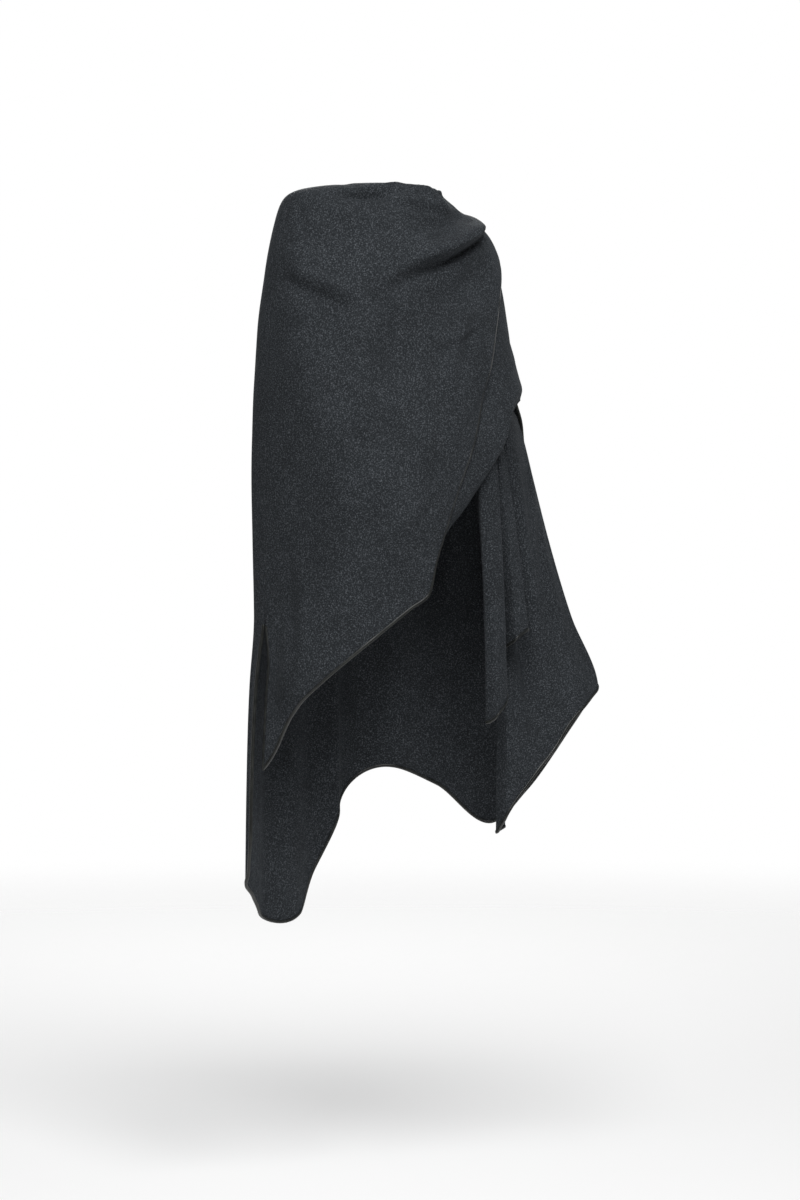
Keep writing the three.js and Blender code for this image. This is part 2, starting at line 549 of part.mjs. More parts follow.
const cape = new THREE.Group();
cape.add(
  wall(rightFront),
  wall(thrownEnd),
  wall(leftFront),
  wall(back),
  wall(sheet),
  wall(fall),
  binding('binding_right_front', rightFront, [
    ...sideColumn(rightFront, 0, rowBelow(rightFront, 0, APEX_Z - BINDING_START), rightFront.rows),
    ...bottomRow(rightFront, 1),
  ]),
  binding('binding_right_front_end', thrownEnd, [
    ...sideColumn(thrownEnd, 0, rowBelow(thrownEnd, 0, THROWN_BINDING_Z), thrownEnd.rows),
    ...bottomRow(thrownEnd, 1),
  ]),
  binding('binding_back', back, [
    ...sideColumn(back, 0, rowBelow(back, 0, APEX_Z - BINDING_START), back.rows),
    ...bottomRow(back, 1),
  ]),
  binding('binding_left_front_sheet', sheet, bottomRow(sheet)),
  binding('binding_left_front_fall', fall, bottomRow(fall), true),
);

export default cape;
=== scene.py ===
"""A wool cape coat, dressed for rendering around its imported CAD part.

The cloth is built from the same rings, edges and folds as the part, on finer grids and with more
creases. Sizes in the tables are in mm and turn into metres when a mesh is made. +Z is up, the
garment faces -Y and its right side is at -X. The origin is the middle of the neckline at the
height of the shoulders.
"""

from __future__ import annotations

import logging
import math
from dataclasses import dataclass, field
from enum import Enum
from typing import Any, Sequence

import bmesh
import bpy
import numpy as np
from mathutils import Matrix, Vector

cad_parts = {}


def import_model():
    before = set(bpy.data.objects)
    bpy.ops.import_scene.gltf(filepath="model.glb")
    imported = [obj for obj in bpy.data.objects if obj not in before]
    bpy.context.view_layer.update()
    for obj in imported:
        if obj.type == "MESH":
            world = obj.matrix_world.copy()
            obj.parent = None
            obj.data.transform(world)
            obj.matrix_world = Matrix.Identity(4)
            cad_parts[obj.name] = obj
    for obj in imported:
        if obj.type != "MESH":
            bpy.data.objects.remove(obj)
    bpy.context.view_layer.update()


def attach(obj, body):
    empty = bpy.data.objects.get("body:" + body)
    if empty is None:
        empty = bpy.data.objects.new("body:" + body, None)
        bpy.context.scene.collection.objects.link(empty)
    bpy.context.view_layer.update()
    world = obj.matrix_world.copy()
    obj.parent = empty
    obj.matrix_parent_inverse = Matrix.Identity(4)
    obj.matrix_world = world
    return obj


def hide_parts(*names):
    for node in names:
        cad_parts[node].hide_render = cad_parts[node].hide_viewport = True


log = logging.getLogger("cape")

Array = np.ndarray
MM = 0.001  # one millimetre in metres

WOOL_THICKNESS = 2.2
SEAM_GAP = 0.8  # between two pieces along a seam line
LAYER = 7.0  # how far a layer lies outside the one beneath it
MM_PER_DEG = 2.7  # girth that one degree round the garment stands for
NECK_DROP = 4.0  # where the back starts, below the top of the neck ring
APEX_Z = -580.0  # top of the side opening on the right
OPEN_DROP = 100.0  # over which it widens to its full size
OPEN_DEG = 6.5  # how far the front's edge swings forward there
BACK_OPEN = 3.0  # how far the back's edge stands out there
BACK_OPEN_DEG = 1.5
CORNER_RADIUS = 50.0  # rounds the back's corner at the right side line
TOP_TURN = 30.0  # how far the neck edge is turned in, measured as drop
FOLD_FLOOR = 2.5  # how far a trough may sink where a layer lies beneath
DEEP_FLOOR = 13.0  # and where none does
BINDING_START = 25.0  # how far below the side opening's top its bindings start
SEAM_DEG = math.degrees(SEAM_GAP / 2 / 200) * 1.4


class Slot(Enum):
    """The record's material slots."""

    WOOL = "wool"
    BINDING = "binding"


def smoothstep(x: Array | float, low: float, high: float) -> Array:
    """Eases from 0 at low to 1 at high.

    Args:
        x: Where to look.
        low: Where the step starts.
        high: Where it ends.

    Returns:
        The eased share at each place.
    """
    t = np.clip((np.asarray(x, float) - low) / (high - low), 0.0, 1.0)
    return t * t * (3 - 2 * t)


def mix(a: Array | float, b: Array | float, share: Array | float) -> Array:
    """Goes from a to b by a share from 0 to 1."""
    return a + (np.asarray(b) - np.asarray(a)) * share


class Curve:
    """A smooth line through the rows of a table, flat at its peaks so that it never overshoots."""

    def __init__(self, at: Sequence[float], value: Sequence[float]) -> None:
        """Takes the rows.

        Args:
            at: The key of each row, rising.
            value: The value of each row.
        """
        self.at = np.asarray(at, float)
        self.value = np.asarray(value, float)
        step = np.diff(self.value) / np.diff(self.at)
        before, after = step[:-1], step[1:]
        total = np.where(before + after == 0, 1.0, before + after)
        inner = np.where(before * after <= 0, 0.0, 2 * before * after / total)
        self.slope = np.concatenate([[step[0]], inner, [step[-1]]])

    def __call__(self, x: Array | float) -> Array:
        """Returns the line's value at each place, held at its ends."""
        x = np.asarray(x, float)
        i = np.clip(np.searchsorted(self.at, x, side="right") - 1, 0, len(self.at) - 2)
        width = self.at[i + 1] - self.at[i]
        t = np.clip((x - self.at[i]) / width, 0.0, 1.0)
        start, end = self.value[i], self.value[i + 1]
        ease = t * t * (3 - 2 * t)
        leave = self.slope[i] * width * t * (1 - t) * (1 - t)
        arrive = self.slope[i + 1] * width * t * t * (1 - t)
        return start + (end - start) * ease + leave - arrive


@dataclass(frozen=True)
class Ring:
    """One ring that the cloth lies on: heights and half-sizes at its four sides, in mm."""

    drop: float
    front_z: float
    right_z: float
    left_z: float
    back_z: float
    right: float
    right_y: float
    left: float
    left_y: float
    front: float
    back: float
    back_bow: float = 1.0


RINGS = [
    Ring(-34, 24, 24, 30, 38, 84, 0, 60, 0, 76, 64),
    Ring(0, 48, 49, 55, 60, 94, 0, 68, 0, 86, 74),
    Ring(45, 12, 48, 28, 26, 140, 0, 106, 0, 102, 98),
    Ring(95, -34, 35, 13, -16, 190, 0, 143, -4, 120, 114),
    Ring(145, -78, 0, -10, -66, 206, 0, 167, -8, 129, 124),
    Ring(210, -138, -70, -72, -128, 220, 3, 189, -13, 136, 130),
    Ring(290, -205, -160, -165, -200, 227, 12, 203, -20, 140, 134),
    Ring(350, -262, -242, -244, -262, 227, 18, 221, -26, 142, 135),
    Ring(430, -335, -330, -330, -335, 223, 25, 252, -31, 143, 135),
    Ring(580, -480, -480, -480, -480, 212, 41, 286, -50, 146, 132, 1.06),
    Ring(690, -590, -590, -590, -590, 204, 53, 312, -70, 146, 130, 1.14),
    Ring(800, -700, -700, -700, -700, 215, 54, 345, -96, 146, 130, 1.2),
    Ring(950, -850, -850, -850, -850, 228, 49, 350, -90, 148, 130, 1.28),
    Ring(1180, -1080, -1080, -1080, -1080, 238, 42, 354, -84, 150, 132, 1.32),
]


@dataclass(frozen=True)
class Fold:
    """A soft fold from one place through another to a third: degrees round, mm of drop.

    depth lifts the ridge, or sinks a trough where it is below 0. lip sinks a trough under the
    ridge, start and end say how strong the fold is at its two ends, and crisp, from 0 to 1,
    makes its lower side steeper than its upper one.
    """

    name: str
    from_deg: float
    from_drop: float
    via_deg: float
    via_drop: float
    to_deg: float
    to_drop: float
    width: float
    depth: float
    lip: float = 0.0
    start: float = 0.0
    end: float = 0.0
    crisp: float = 0.0

    def route(self, steps: int = 10) -> Array:
        """Returns the points that the fold runs through, on the cloth laid flat."""
        t = np.linspace(0.0, 1.0, steps + 1)[:, None]
        ends = np.array(
            [
                [self.from_deg * MM_PER_DEG, self.from_drop],
                [self.via_deg * MM_PER_DEG, self.via_drop],
                [self.to_deg * MM_PER_DEG, self.to_drop],
            ]
        )
        return ends[0] * (1 - t) ** 2 + 2 * ends[1] * t * (1 - t) + ends[2] * t**2

    def lift(self, deg: Array, drop: Array) -> Array:
        """How far the fold lifts the cloth at each place.

        Args:
            deg: Degrees round the garment.
            drop: Way down from the neck edge, in mm.

        Returns:
            The lift in mm.
        """
        line = self.route()
        here = np.stack(np.broadcast_arrays(deg * MM_PER_DEG, drop), -1).astype(float)
        best = np.full(here.shape[:-1], np.inf)
        side = np.zeros_like(best)
        along = np.zeros_like(best)
        for i in range(len(line) - 1):
            run = line[i + 1] - line[i]
            away = here - line[i]
            t = np.clip(away @ run / (run @ run), 0.0, 1.0)
            far = np.linalg.norm(away - t[..., None] * run, axis=-1)
            nearer = far < best
            turn = np.sign(away[..., 1] * run[0] - away[..., 0] * run[1])
            best = np.where(nearer, far, best)
            side = np.where(nearer, turn * far, side)
            along = np.where(nearer, (i + t) / (len(line) - 1), along)
        down = -1.0 if self.from_deg > self.to_deg else 1.0
        across = side * down / self.width
        across = np.where(across > 0, across / (1 - self.crisp), across)
        strength = mix(self.start, 1.0, smoothstep(along, 0.0, 0.35)) * mix(
            1.0, self.end, smoothstep(along, 0.5, 1.0)
        )
        ridge = np.exp(-2 * across**2)
        trough = np.exp(-2 * (across - 1.15) ** 2)
        return self.depth * strength * (ridge - 0.7 * self.lip * trough)


def lift_of(folds: Sequence[Fold], deg: Array, drop: Array) -> Array:
    """Returns how far several folds together lift the cloth at each place."""
    return sum((fold.lift(deg, drop) for fold in folds), np.zeros(np.broadcast(deg, drop).shape))


# Every layer bulges out along this line, from the left side down to the front
BULGE = Fold("bulge", 62, 330, 20, 380, -14, 560, 52, 14, 0, 0.2, 0.5)

# Main folds, as in the part
RIGHT_FRONT_FOLDS = [
    Fold("drape from the shoulder", 70, 102, -10, 46, -42, 236, 38, 25, 0.6, 0.05, 0, 0.68),
    Fold("hollow under the drape", 46, 144, 2, 158, -22, 256, 40, -12, 0, 0.3, 0),
    Fold("hollow above the drape", 54, 50, 14, 58, -28, 104, 28, -16, 0, 0.2, 0),
    Fold("right drape", -84, 206, -60, 236, -34, 222, 26, 10, 0.7, 0.5, 0, 0.2),
    Fold("below the neck", -74, 128, -50, 112, -26, 88, 17, 3, 0.8, 0, 0),
    Fold("cowl", -66, 26, -20, 44, 40, 24, 13, 4, 1, 0.2, 0.3),
    Fold("corner of the right side", -70, 270, -20, 480, -62, 790, 64, 32, 0, 0.2, 0.7),
    Fold("middle of the chest", -42, 214, -42, 300, -38, 430, 22, 9, 0.2, 0.2, 0),
    Fold("across the front", 30, 240, -8, 360, -30, 620, 46, 6, 0.6, 0.2, 0.6),
]
THROWN_END_FOLDS = [
    Fold("outer", 100, 90, 106, 250, 112, 560, 24, 9, 0.9, 0.5, 1),
    Fold("inner", 112, 70, 128, 210, 138, 420, 26, 8, 0.8, 0.6, 1),
    Fold("by the neck", 112, 40, 144, 100, 158, 240, 20, 6, 0.8, 0.5, 0.8),
]
LEFT_FRONT_FOLDS = [
    Fold("along the bulge", 70, 330, 40, 350, -8, 560, 14, 3, 1, 0, 0.5),
]
BACK_FOLDS = [
    Fold("right side", 112, 240, 108, 620, 106, 1190, 34, 6, 0.6, 0, 1),
    Fold("right blade", 140, 190, 136, 560, 134, 1190, 40, 12, 0.8, 0, 1),
    Fold("middle right", 164, 320, 162, 620, 163, 1190, 36, 10, 0.8, 0, 1),
    Fold("middle left", 190, 220, 192, 560, 193, 1190, 42, 12, 0.7, 0, 1),
    Fold("left", 214, 340, 222, 640, 224, 1190, 40, 13, 0.7, 0, 1),
    Fold("left side", 240, 520, 246, 680, 248, 1190, 28, 8, 0.8, 0, 1),
]

# Finer creases
RIGHT_FRONT_CREASES = [
    Fold("pull above the drape", 66, 66, 18, 52, -18, 100, 14, 3.0, 0.9, 0, 0, 0.3),
    Fold("right ridge", -84, 196, -60, 204, -40, 190, 13, 4.0, 0.3, 0.4, 0, 0.2),
    Fold("pull from the trough", -40, 224, -26, 236, -14, 262, 14, -2.6, 0, 0.4, 0),
    Fold("shoulder dent", -84, 118, -74, 150, -70, 186, 13, -3.0, 0, 0.3, 0),
    Fold("neck fold", -60, 82, -50, 46, -24, 16, 13, -16.0, 0, 0.3, 0.2),
    Fold("neck roll", -60, 66, -54, 28, -28, -6, 9, 4.0, 0, 0, 0.4),
    Fold("neck pleat", -40, 74, -18, 62, 6, 50, 10, 2.4, 0.7, 0, 0, 0.3),
    Fold("level line", -76, 176, -54, 162, -34, 124, 7, -2.6, 0, 0, 0),
    Fold("chest hollow", -22, 206, -28, 290, -22, 380, 26, -13.0, 0, 0.4, 0),
    Fold("chest streak", 12, 190, -1, 270, -8, 390, 13, 5.0, 0.5, 0.3, 0),
    Fold("fullness", 10, 400, -24, 430, -46, 560, 60, 9.0, 0, 0.2, 0.2),
    Fold("middle streak", -52, 320, -36, 390, -16, 432, 10, 2.8, 0.5, 0, 0),
    Fold("middle streak two", -46, 400, -30, 440, -14, 500, 11, 2.4, 0.6, 0, 0),
    Fold("left of the neck", 8, 8, 34, 24, 66, 12, 24, -13.0, 0, 0.3, 0.4),
    Fold("hang one", -10, 330, -20, 460, -24, 600, 18, 4.0, 0.6, 0, 0.4, 0.2),
    Fold("hang two", -34, 470, -34, 600, -36, 720, 20, -4.0, 0, 0, 0.6),
    Fold("low side ridge", -70, 560, -62, 680, -62, 820, 16, 3.6, 0.8, 0, 0.7, 0.2),
    Fold("pull to the left", 34, 262, 12, 330, -4, 430, 12, 2.6, 0.9, 0.2, 0, 0.3),
    Fold("pull across", 22, 226, 0, 252, -20, 300, 13, 2.6, 0.8, 0.2, 0, 0.3),
    Fold("pull to the hem", -6, 470, -20, 540, -38, 610, 15, 2.8, 0.7, 0.2, 0, 0.3),
    Fold("left shoulder crease", 82, 62, 60, 80, 42, 84, 10, 2.6, 0.9, 0.4, 0, 0.3),
]
THROWN_END_CREASES = [
    Fold("front edge", 94, 200, 96, 320, 97, 520, 11, 2.2, 0.7, 0, 0.8),
    Fold("middle", 118, 120, 122, 260, 124, 430, 12, 2.4, 0.9, 0, 0.7),
    Fold("slant", 126, 60, 142, 150, 148, 300, 12, 2.0, 0.8, 0.2, 0.4),
    Fold("shoulder", 100, 60, 122, 66, 144, 54, 11, 1.8, 0.7, 0.2, 0),
]
LEFT_FRONT_CREASES = [
    Fold("bend one", 66, 300, 44, 322, 24, 330, 10, 1.4, 0.8, 0, 0),
    Fold("bend two", 44, 300, 18, 372, 0, 452, 9, 1.2, 0.8, 0, 0.2),
    Fold("bend three", 80, 250, 60, 290, 46, 320, 12, -1.3, 0, 0, 0),
]
BACK_CREASES = [
    Fold("right hang", 122, 420, 121, 700, 120, 1190, 18, 2.6, 0.9, 0, 1),
    Fold("blade pull", 150, 150, 148, 240, 152, 400, 20, 3.0, 0.8, 0.2, 0),
    Fold("nape", 150, 40, 180, 58, 212, 38, 13, 2.2, 0.8, 0, 0),
    Fold("centre hang", 177, 380, 178, 640, 178, 1190, 19, -4.2, 0, 0, 1),
    Fold("left pull", 206, 180, 208, 300, 204, 520, 22, 3.0, 0.7, 0, 0),
    Fold("left hang", 208, 520, 208, 740, 208, 1190, 17, 3.6, 0.8, 0, 1),
    Fold("left slant", 236, 300, 230, 470, 233, 700, 20, 3.4, 0.8, 0, 0.3),
    Fold("side slant", 250, 360, 242, 420, 238, 520, 16, 2.4, 0.8, 0, 0),
    Fold("right low", 102, 700, 100, 860, 99, 1190, 13, -2.0, 0, 0, 1),
]
ARM_HANGS = [
    Fold("sheet one", 20, 60, 26, 420, 34, 860, 30, 5.0, 0.7, 0.2, 1),
    Fold("sheet two", 62, 40, 58, 380, 52, 800, 26, 4.4, 0.8, 0.3, 1),
    Fold("sheet three", 96, 120, 92, 420, 84, 760, 24, 3.6, 0.8, 0, 1),
    Fold("sheet slant", 8, 150, 40, 330, 66, 560, 20, 2.6, 0.7, 0, 0),
    Fold("sheet hollow", 80, 140, 66, 420, 57, 740, 26, -38.0, 0, 0.3, 0.1),
    Fold("sheet inner ridge", 96, 420, 94, 580, 88, 750, 14, 8.0, 0.4, 0, 0.2),
]

RIGHT_FRONT_EDGE = Curve(
    [-90, -80, -64, -37, -22, -14, -10, -2, 6, 16, 25, 38, 58, 75, 90],
    [-824, -794, -732, -632, -584, -563, -506, -417, -336, -252, -192, -116, -60, -34, -22],
)
THROWN_END_EDGE = Curve(
    [90, 95, 104, 116, 132, 150, 166, 176],
    [-405, -436, -446, -420, -318, -180, -60, 20],
)
TURNED_EDGE = Curve(
    [-14, -10, -3, 4, 11, 19, 27, 35, 48, 66, 90],
    [-508, -500, -470, -440, -405, -366, -325, -284, -264, -256, -250],
)
COVERED_FROM = Curve(  # by drop: from where the right front has the left front beneath it
    [56, 130, 200, 250, 300, 360, 430],
    [58, 50, 30, 16, 2, -10, -13],
)
BACK_HEM = Curve(
    [90, 104, 112, 120, 130, 144, 154, 166, 182, 200, 214, 228, 238, 254, 270],
    [-966, -994, -1007, -1022, -1048, -1064, -1054, -984, -886, -832, -862, -925, -874, -772, -704],
)


class Body:
    """The rings that the cloth lies on, as smooth curves."""

    def __init__(self, rings: Sequence[Ring]) -> None:
        """Makes one curve of each column of the table."""
        drops = [ring.drop for ring in rings]
        self.lowest = drops[-1]
        self.size = {
            name: Curve(drops, [getattr(ring, name) for ring in rings])
            for name in Ring.__dataclass_fields__
            if name != "drop"
        }

    def point(self, deg: Array, drop: Array) -> Array:
        """Points of the rings: deg 0 is the front, 90 the left side line, -90 the right one.

        Args:
            deg: Degrees round the garment.
            drop: Way down from the neck edge, in mm.

        Returns:
            The points in mm, the last axis being x, y and z.
        """
        deg, drop = np.broadcast_arrays(np.asarray(deg, float), np.asarray(drop, float))
        across, forth = np.sin(np.radians(deg)), np.cos(np.radians(deg))
        size = {name: curve(drop) for name, curve in self.size.items()}
        right, front = across < 0, forth > 0
        bow = np.where(front, 1.0, size["back_bow"])
        x = np.sign(across) * np.where(right, size["right"], size["left"]) * np.abs(across) ** bow
        y = -np.sign(forth) * np.where(front, size["front"], size["back"]) * np.abs(forth) ** bow
        share = across**2
        y = y + np.where(right, size["right_y"], size["left_y"]) * share
        face_z = np.where(front, size["front_z"], size["back_z"])
        side_z = np.where(right, size["right_z"], size["left_z"])
        return np.stack([x, y, mix(face_z, side_z, share)], -1)

    def drop_at(self, deg: Array, z: Array) -> Array:
        """Returns the drop at which the rings reach a height."""
        deg, z = np.broadcast_arrays(np.asarray(deg, float), np.asarray(z, float))
        high, low = np.zeros(deg.shape), np.full(deg.shape, self.lowest)
        for _ in range(24):
            middle = (high + low) / 2
            above = self.point(deg, middle)[..., 2] > z
            high, low = np.where(above, middle, high), np.where(above, low, middle)
        return (high + low) / 2

    def skin(self, deg: Array, drop: Array, lift: Array | float) -> Array:
        """Returns points lifted off the rings along their outward direction, in mm."""
        round_it = self.point(deg + 0.5, drop) - self.point(deg - 0.5, drop)
        down = self.point(deg, drop + 2) - self.point(deg, drop - 2)
        out = np.cross(down, round_it)
        out /= np.maximum(np.linalg.norm(out, axis=-1, keepdims=True), 1e-9)
        return self.point(deg, drop) + out * np.asarray(lift)[..., None]


BODY = Body(RINGS)


@dataclass
class Grid:
    """A panel's middle surface: points, outward directions and places on the flat cloth."""

    point: Array
    out: Array
    flat: Array


def outward(point: Array) -> Array:
    """Returns the outward direction at each point of a grid of columns and rows."""
    round_it, down = np.gradient(point, axis=0), np.gradient(point, axis=1)
    out = np.cross(down, round_it)
    return out / np.maximum(np.linalg.norm(out, axis=-1, keepdims=True), 1e-9)


def laid_flat(point: Array) -> Array:
    """Lays a grid flat by the lengths of its rows and columns.

    Args:
        point: The grid's points, in mm.

    Returns:
        The place of each point on the flat cloth, in mm.
    """
    across = np.linalg.norm(np.diff(point, axis=0), axis=-1).mean(1)
    down = np.linalg.norm(np.diff(point, axis=1), axis=-1)
    u = np.concatenate([[0.0], np.cumsum(across)])
    v = np.concatenate([np.zeros((len(point), 1)), np.cumsum(down, axis=1)], axis=1)
    return np.stack([np.broadcast_to(u[:, None], v.shape), v], -1)


def mesh_object(name: str, points: Array, faces: Array, flat: Array | None = None) -> bpy.types.Object:
    """Makes a smooth-shaded object.

    Args:
        name: The object's name.
        points: Its corner points, in mm.
        faces: Its four-cornered faces, as indices of points.
        flat: The place of each point on the flat cloth, in mm, kept as the UV map "flat".

    Returns:
        The object, linked to the scene.
    """
    mesh = bpy.data.meshes.new(name)
    mesh.vertices.add(len(points))
    mesh.vertices.foreach_set("co", (points * MM).astype(np.float32).ravel())
    mesh.loops.add(faces.size)
    mesh.loops.foreach_set("vertex_index", faces.astype(np.int32).ravel())
    mesh.polygons.add(len(faces))
    mesh.polygons.foreach_set("loop_start", np.arange(0, faces.size, 4, dtype=np.int32))
    mesh.polygons.foreach_set("use_smooth", np.ones(len(faces), bool))
    if flat is not None:
        layer = mesh.uv_layers.new(name="flat")
        layer.data.foreach_set("uv", (flat[faces.ravel()] * MM).astype(np.float32).ravel())
    mesh.update()
    mesh.validate()
    made = bpy.data.objects.new(name, mesh)
    bpy.context.scene.collection.objects.link(made)
    return made


def grid_quads(columns: int, rows: int) -> Array:
    """Returns the faces of a grid of points counted row by row within its columns."""
    i, j = np.meshgrid(np.arange(columns - 1), np.arange(rows - 1), indexing="ij")
    a = i * rows + j
    return np.stack([a, a + 1, a + rows + 1, a + rows], -1).reshape(-1, 4)


@dataclass
class Panel:
    """One stretch of the cloth: a shell on a grid, with a soft rim.

    Attributes:
        node: The CAD node that it stands for.
        columns: Grid steps across.
        rows: Grid steps down.
        flat: Width and length that the stretch was cut to, in m; not used.
        area: Its flat area, in square metres; not used.
        rests_on: What it lies on; not used.
    """

    node: str
    columns: int
    rows: int
    flat: tuple[float, float]
    area: float
    rests_on: tuple[str, ...] = ()
    grid: Grid | None = None

    @property
    def name(self) -> str:
        """The name of the piece."""
        return f"wool_{self.node}"

    def place(self, u: Array, v: Array) -> Array:
        """Returns the points of the middle surface, in mm, u across and v down, 0 to 1."""
        raise NotImplementedError

    def lay(self) -> Grid:
        """Works out the grid once and keeps it."""
        if self.grid is None:
            u, v = np.meshgrid(
                np.linspace(0, 1, self.columns + 1), np.linspace(0, 1, self.rows + 1), indexing="ij"
            )
            point = self.place(u, v)
            self.grid = Grid(point, outward(point), laid_flat(point))
        return self.grid

    def build(self, finish: Finish) -> bpy.types.Object:
        """Builds the shell: two faces and a smooth-shaded rim between them.

        Args:
            finish: The cloth's finish.

        Returns:
            The cloth's object.
        """
        grid = self.lay()
        columns, rows = grid.point.shape[:2]
        half = WOOL_THICKNESS / 2
        outer = (grid.point + grid.out * half).reshape(-1, 3)
        inner = (grid.point - grid.out * half).reshape(-1, 3)
        below = len(outer)
        quads = grid_quads(columns, rows)
        rim = np.concatenate(
            [
                np.arange(columns - 1) * rows,
                (columns - 1) * rows + np.arange(rows - 1),
                np.arange(columns - 1, 0, -1) * rows + rows - 1,
                np.arange(rows - 1, 0, -1),
            ]
        )
        following = np.roll(rim, -1)
        edge = np.stack([rim, following, following + below, rim + below], -1)
        faces = np.concatenate([quads, quads[:, ::-1] + below, edge])
        flat = grid.flat.reshape(-1, 2)
        made = mesh_object(
            self.name, np.concatenate([outer, inner]), faces, np.concatenate([flat, flat])
        )
        finish.dress(made)
        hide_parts(self.node)
        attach(made, "root")
        return made


@dataclass
class RightFront(Panel):
    """From the right side line across to the left shoulder, its neck edge turned in."""

    spread: float = 0.92  # sets the columns closer at the left
    edge_roll: float = 2.5  # how far the thrown edge rolls in over the left arm

    def place(self, u: Array, v: Array) -> Array:
        """Lies level with the back at the right side line, and then a layer further out."""
        deg = mix(-90 + SEAM_DEG, 90 - SEAM_DEG, u**self.spread)
        edge = BODY.drop_at(deg, RIGHT_FRONT_EDGE(deg))
        drop = mix(-TOP_TURN * smoothstep(deg, -88, -60), edge, v)
        open_it = side_opening(deg, drop, u, 0.12)
        lift = lift_of([BULGE, *RIGHT_FRONT_FOLDS], deg, drop)
        fine = lift_of(RIGHT_FRONT_CREASES, deg, drop)
        covers = smoothstep(deg - COVERED_FROM(drop), -14, -4) * smoothstep(drop, 40, 56)
        floor = mix(DEEP_FLOOR, FOLD_FLOOR, covers)
        folds = soft_floor(lift + fine, -floor) * smoothstep(deg, -90, -74)
        roll = self.edge_roll * smoothstep(drop - edge, -14, 0) ** 2 * smoothstep(deg, -16, -6)
        lift = LAYER * smoothstep(deg, -90, -62) + folds - roll
        return BODY.skin(deg + OPEN_DEG * open_it, drop, lift)


@dataclass
class ThrownEnd(Panel):
    """The right front's end: from the left shoulder down the left side and across the back."""

    last_deg: float = 176
    flare: float = 9  # how far its front edge stands out below the left shoulder
    hug: float = 3  # and how far it lies in further down

    def place(self, u: Array, v: Array) -> Array:
        """Lies a layer outside the back, and follows its folds."""
        deg = mix(90 + SEAM_DEG, self.last_deg, u)
        edge = BODY.drop_at(deg, THROWN_END_EDGE(deg))
        drop = mix(mix(-TOP_TURN, 2, smoothstep(deg, 96, 140)), edge, v)
        out = self.flare * smoothstep(drop, 150, 230) * (1 - smoothstep(drop, 385, 435))
        hug = self.hug * smoothstep(drop, 390, 435) * (1 - smoothstep(drop, 470, 530))
        beside = (out - hug) * (1 - smoothstep(deg, 92, 118))
        lift = lift_of([BULGE, *THROWN_END_FOLDS, *THROWN_END_CREASES], deg, drop)
        folds = soft_floor(lift, -FOLD_FLOOR) * smoothstep(deg, 90, 99)
        return BODY.skin(deg, drop, LAYER + beside + folds + back_lift(360 - deg, drop))


@dataclass
class LeftFront(Panel):
    """At the left side under the right front: its lower edge is turned in."""

    top_drop: float = 56
    inner_deg: float = 58
    crossing_deg: float = -13
    turn_under: float = 8  # how far its lower edge is turned in
    turn_drop: float = 22  # over which it turns

    def lift(self, deg: Array, drop: Array, edge: Array) -> Array:
        """Returns how the left front lies under the right front and over the bulge."""
        turned = self.turn_under * smoothstep((drop - edge) / self.turn_drop, -1, 0) ** 2
        beneath = 2 * (1 - smoothstep(deg, 70, 90))
        folds = lift_of([BULGE, *LEFT_FRONT_FOLDS, *LEFT_FRONT_CREASES], deg, drop)
        return folds - turned - beneath

    def place(self, u: Array, v: Array) -> Array:
        """Crosses under the right front at its inner edge."""
        inner = mix(self.inner_deg, self.crossing_deg, smoothstep(v, 0, 0.85))
        deg = mix(inner, 90 - SEAM_DEG, u)
        edge = BODY.drop_at(deg, TURNED_EDGE(deg))
        drop = mix(self.top_drop, edge, v)
        return BODY.skin(deg, drop, self.lift(deg, drop, edge))


@dataclass
class Back(Panel):
    """From the right side line round the back to the left side line."""

    def place(self, u: Array, v: Array) -> Array:
        """Counts its degrees the other way round, so that its columns run on from the right."""
        round_it = mix(90 + SEAM_DEG, 270 - SEAM_DEG, u)
        corner = np.minimum((round_it - 90) * MM_PER_DEG, CORNER_RADIUS)
        rise = CORNER_RADIUS - np.sqrt(CORNER_RADIUS**2 - (CORNER_RADIUS - corner) ** 2)
        deg = -round_it
        drop = mix(NECK_DROP, BODY.drop_at(deg, BACK_HEM(round_it) + rise), v)
        open_it = side_opening(deg, drop, u, 0.1)
        lift = BACK_OPEN * open_it + back_lift(round_it, drop)
        return BODY.skin(deg - BACK_OPEN_DEG * open_it, drop, lift)


@dataclass(frozen=True)
class SheetStop:
    """A place along the hem of the left side's sheet."""

    at: float
    deg: float
    x: float
    y: float
    z: float


SHEET_HEM = [
    SheetStop(0, 90, 345, -96, -700),
    SheetStop(0.08, 86, 341, -110, -708),
    SheetStop(0.28, 80, 282, -127, -743),
    SheetStop(0.5, 71, 213, -118, -825),
    SheetStop(0.72, 58, 146, -100, -906),
    SheetStop(0.86, 57, 145, -84, -929),
    SheetStop(1, 62, 174, -71, -922),
]


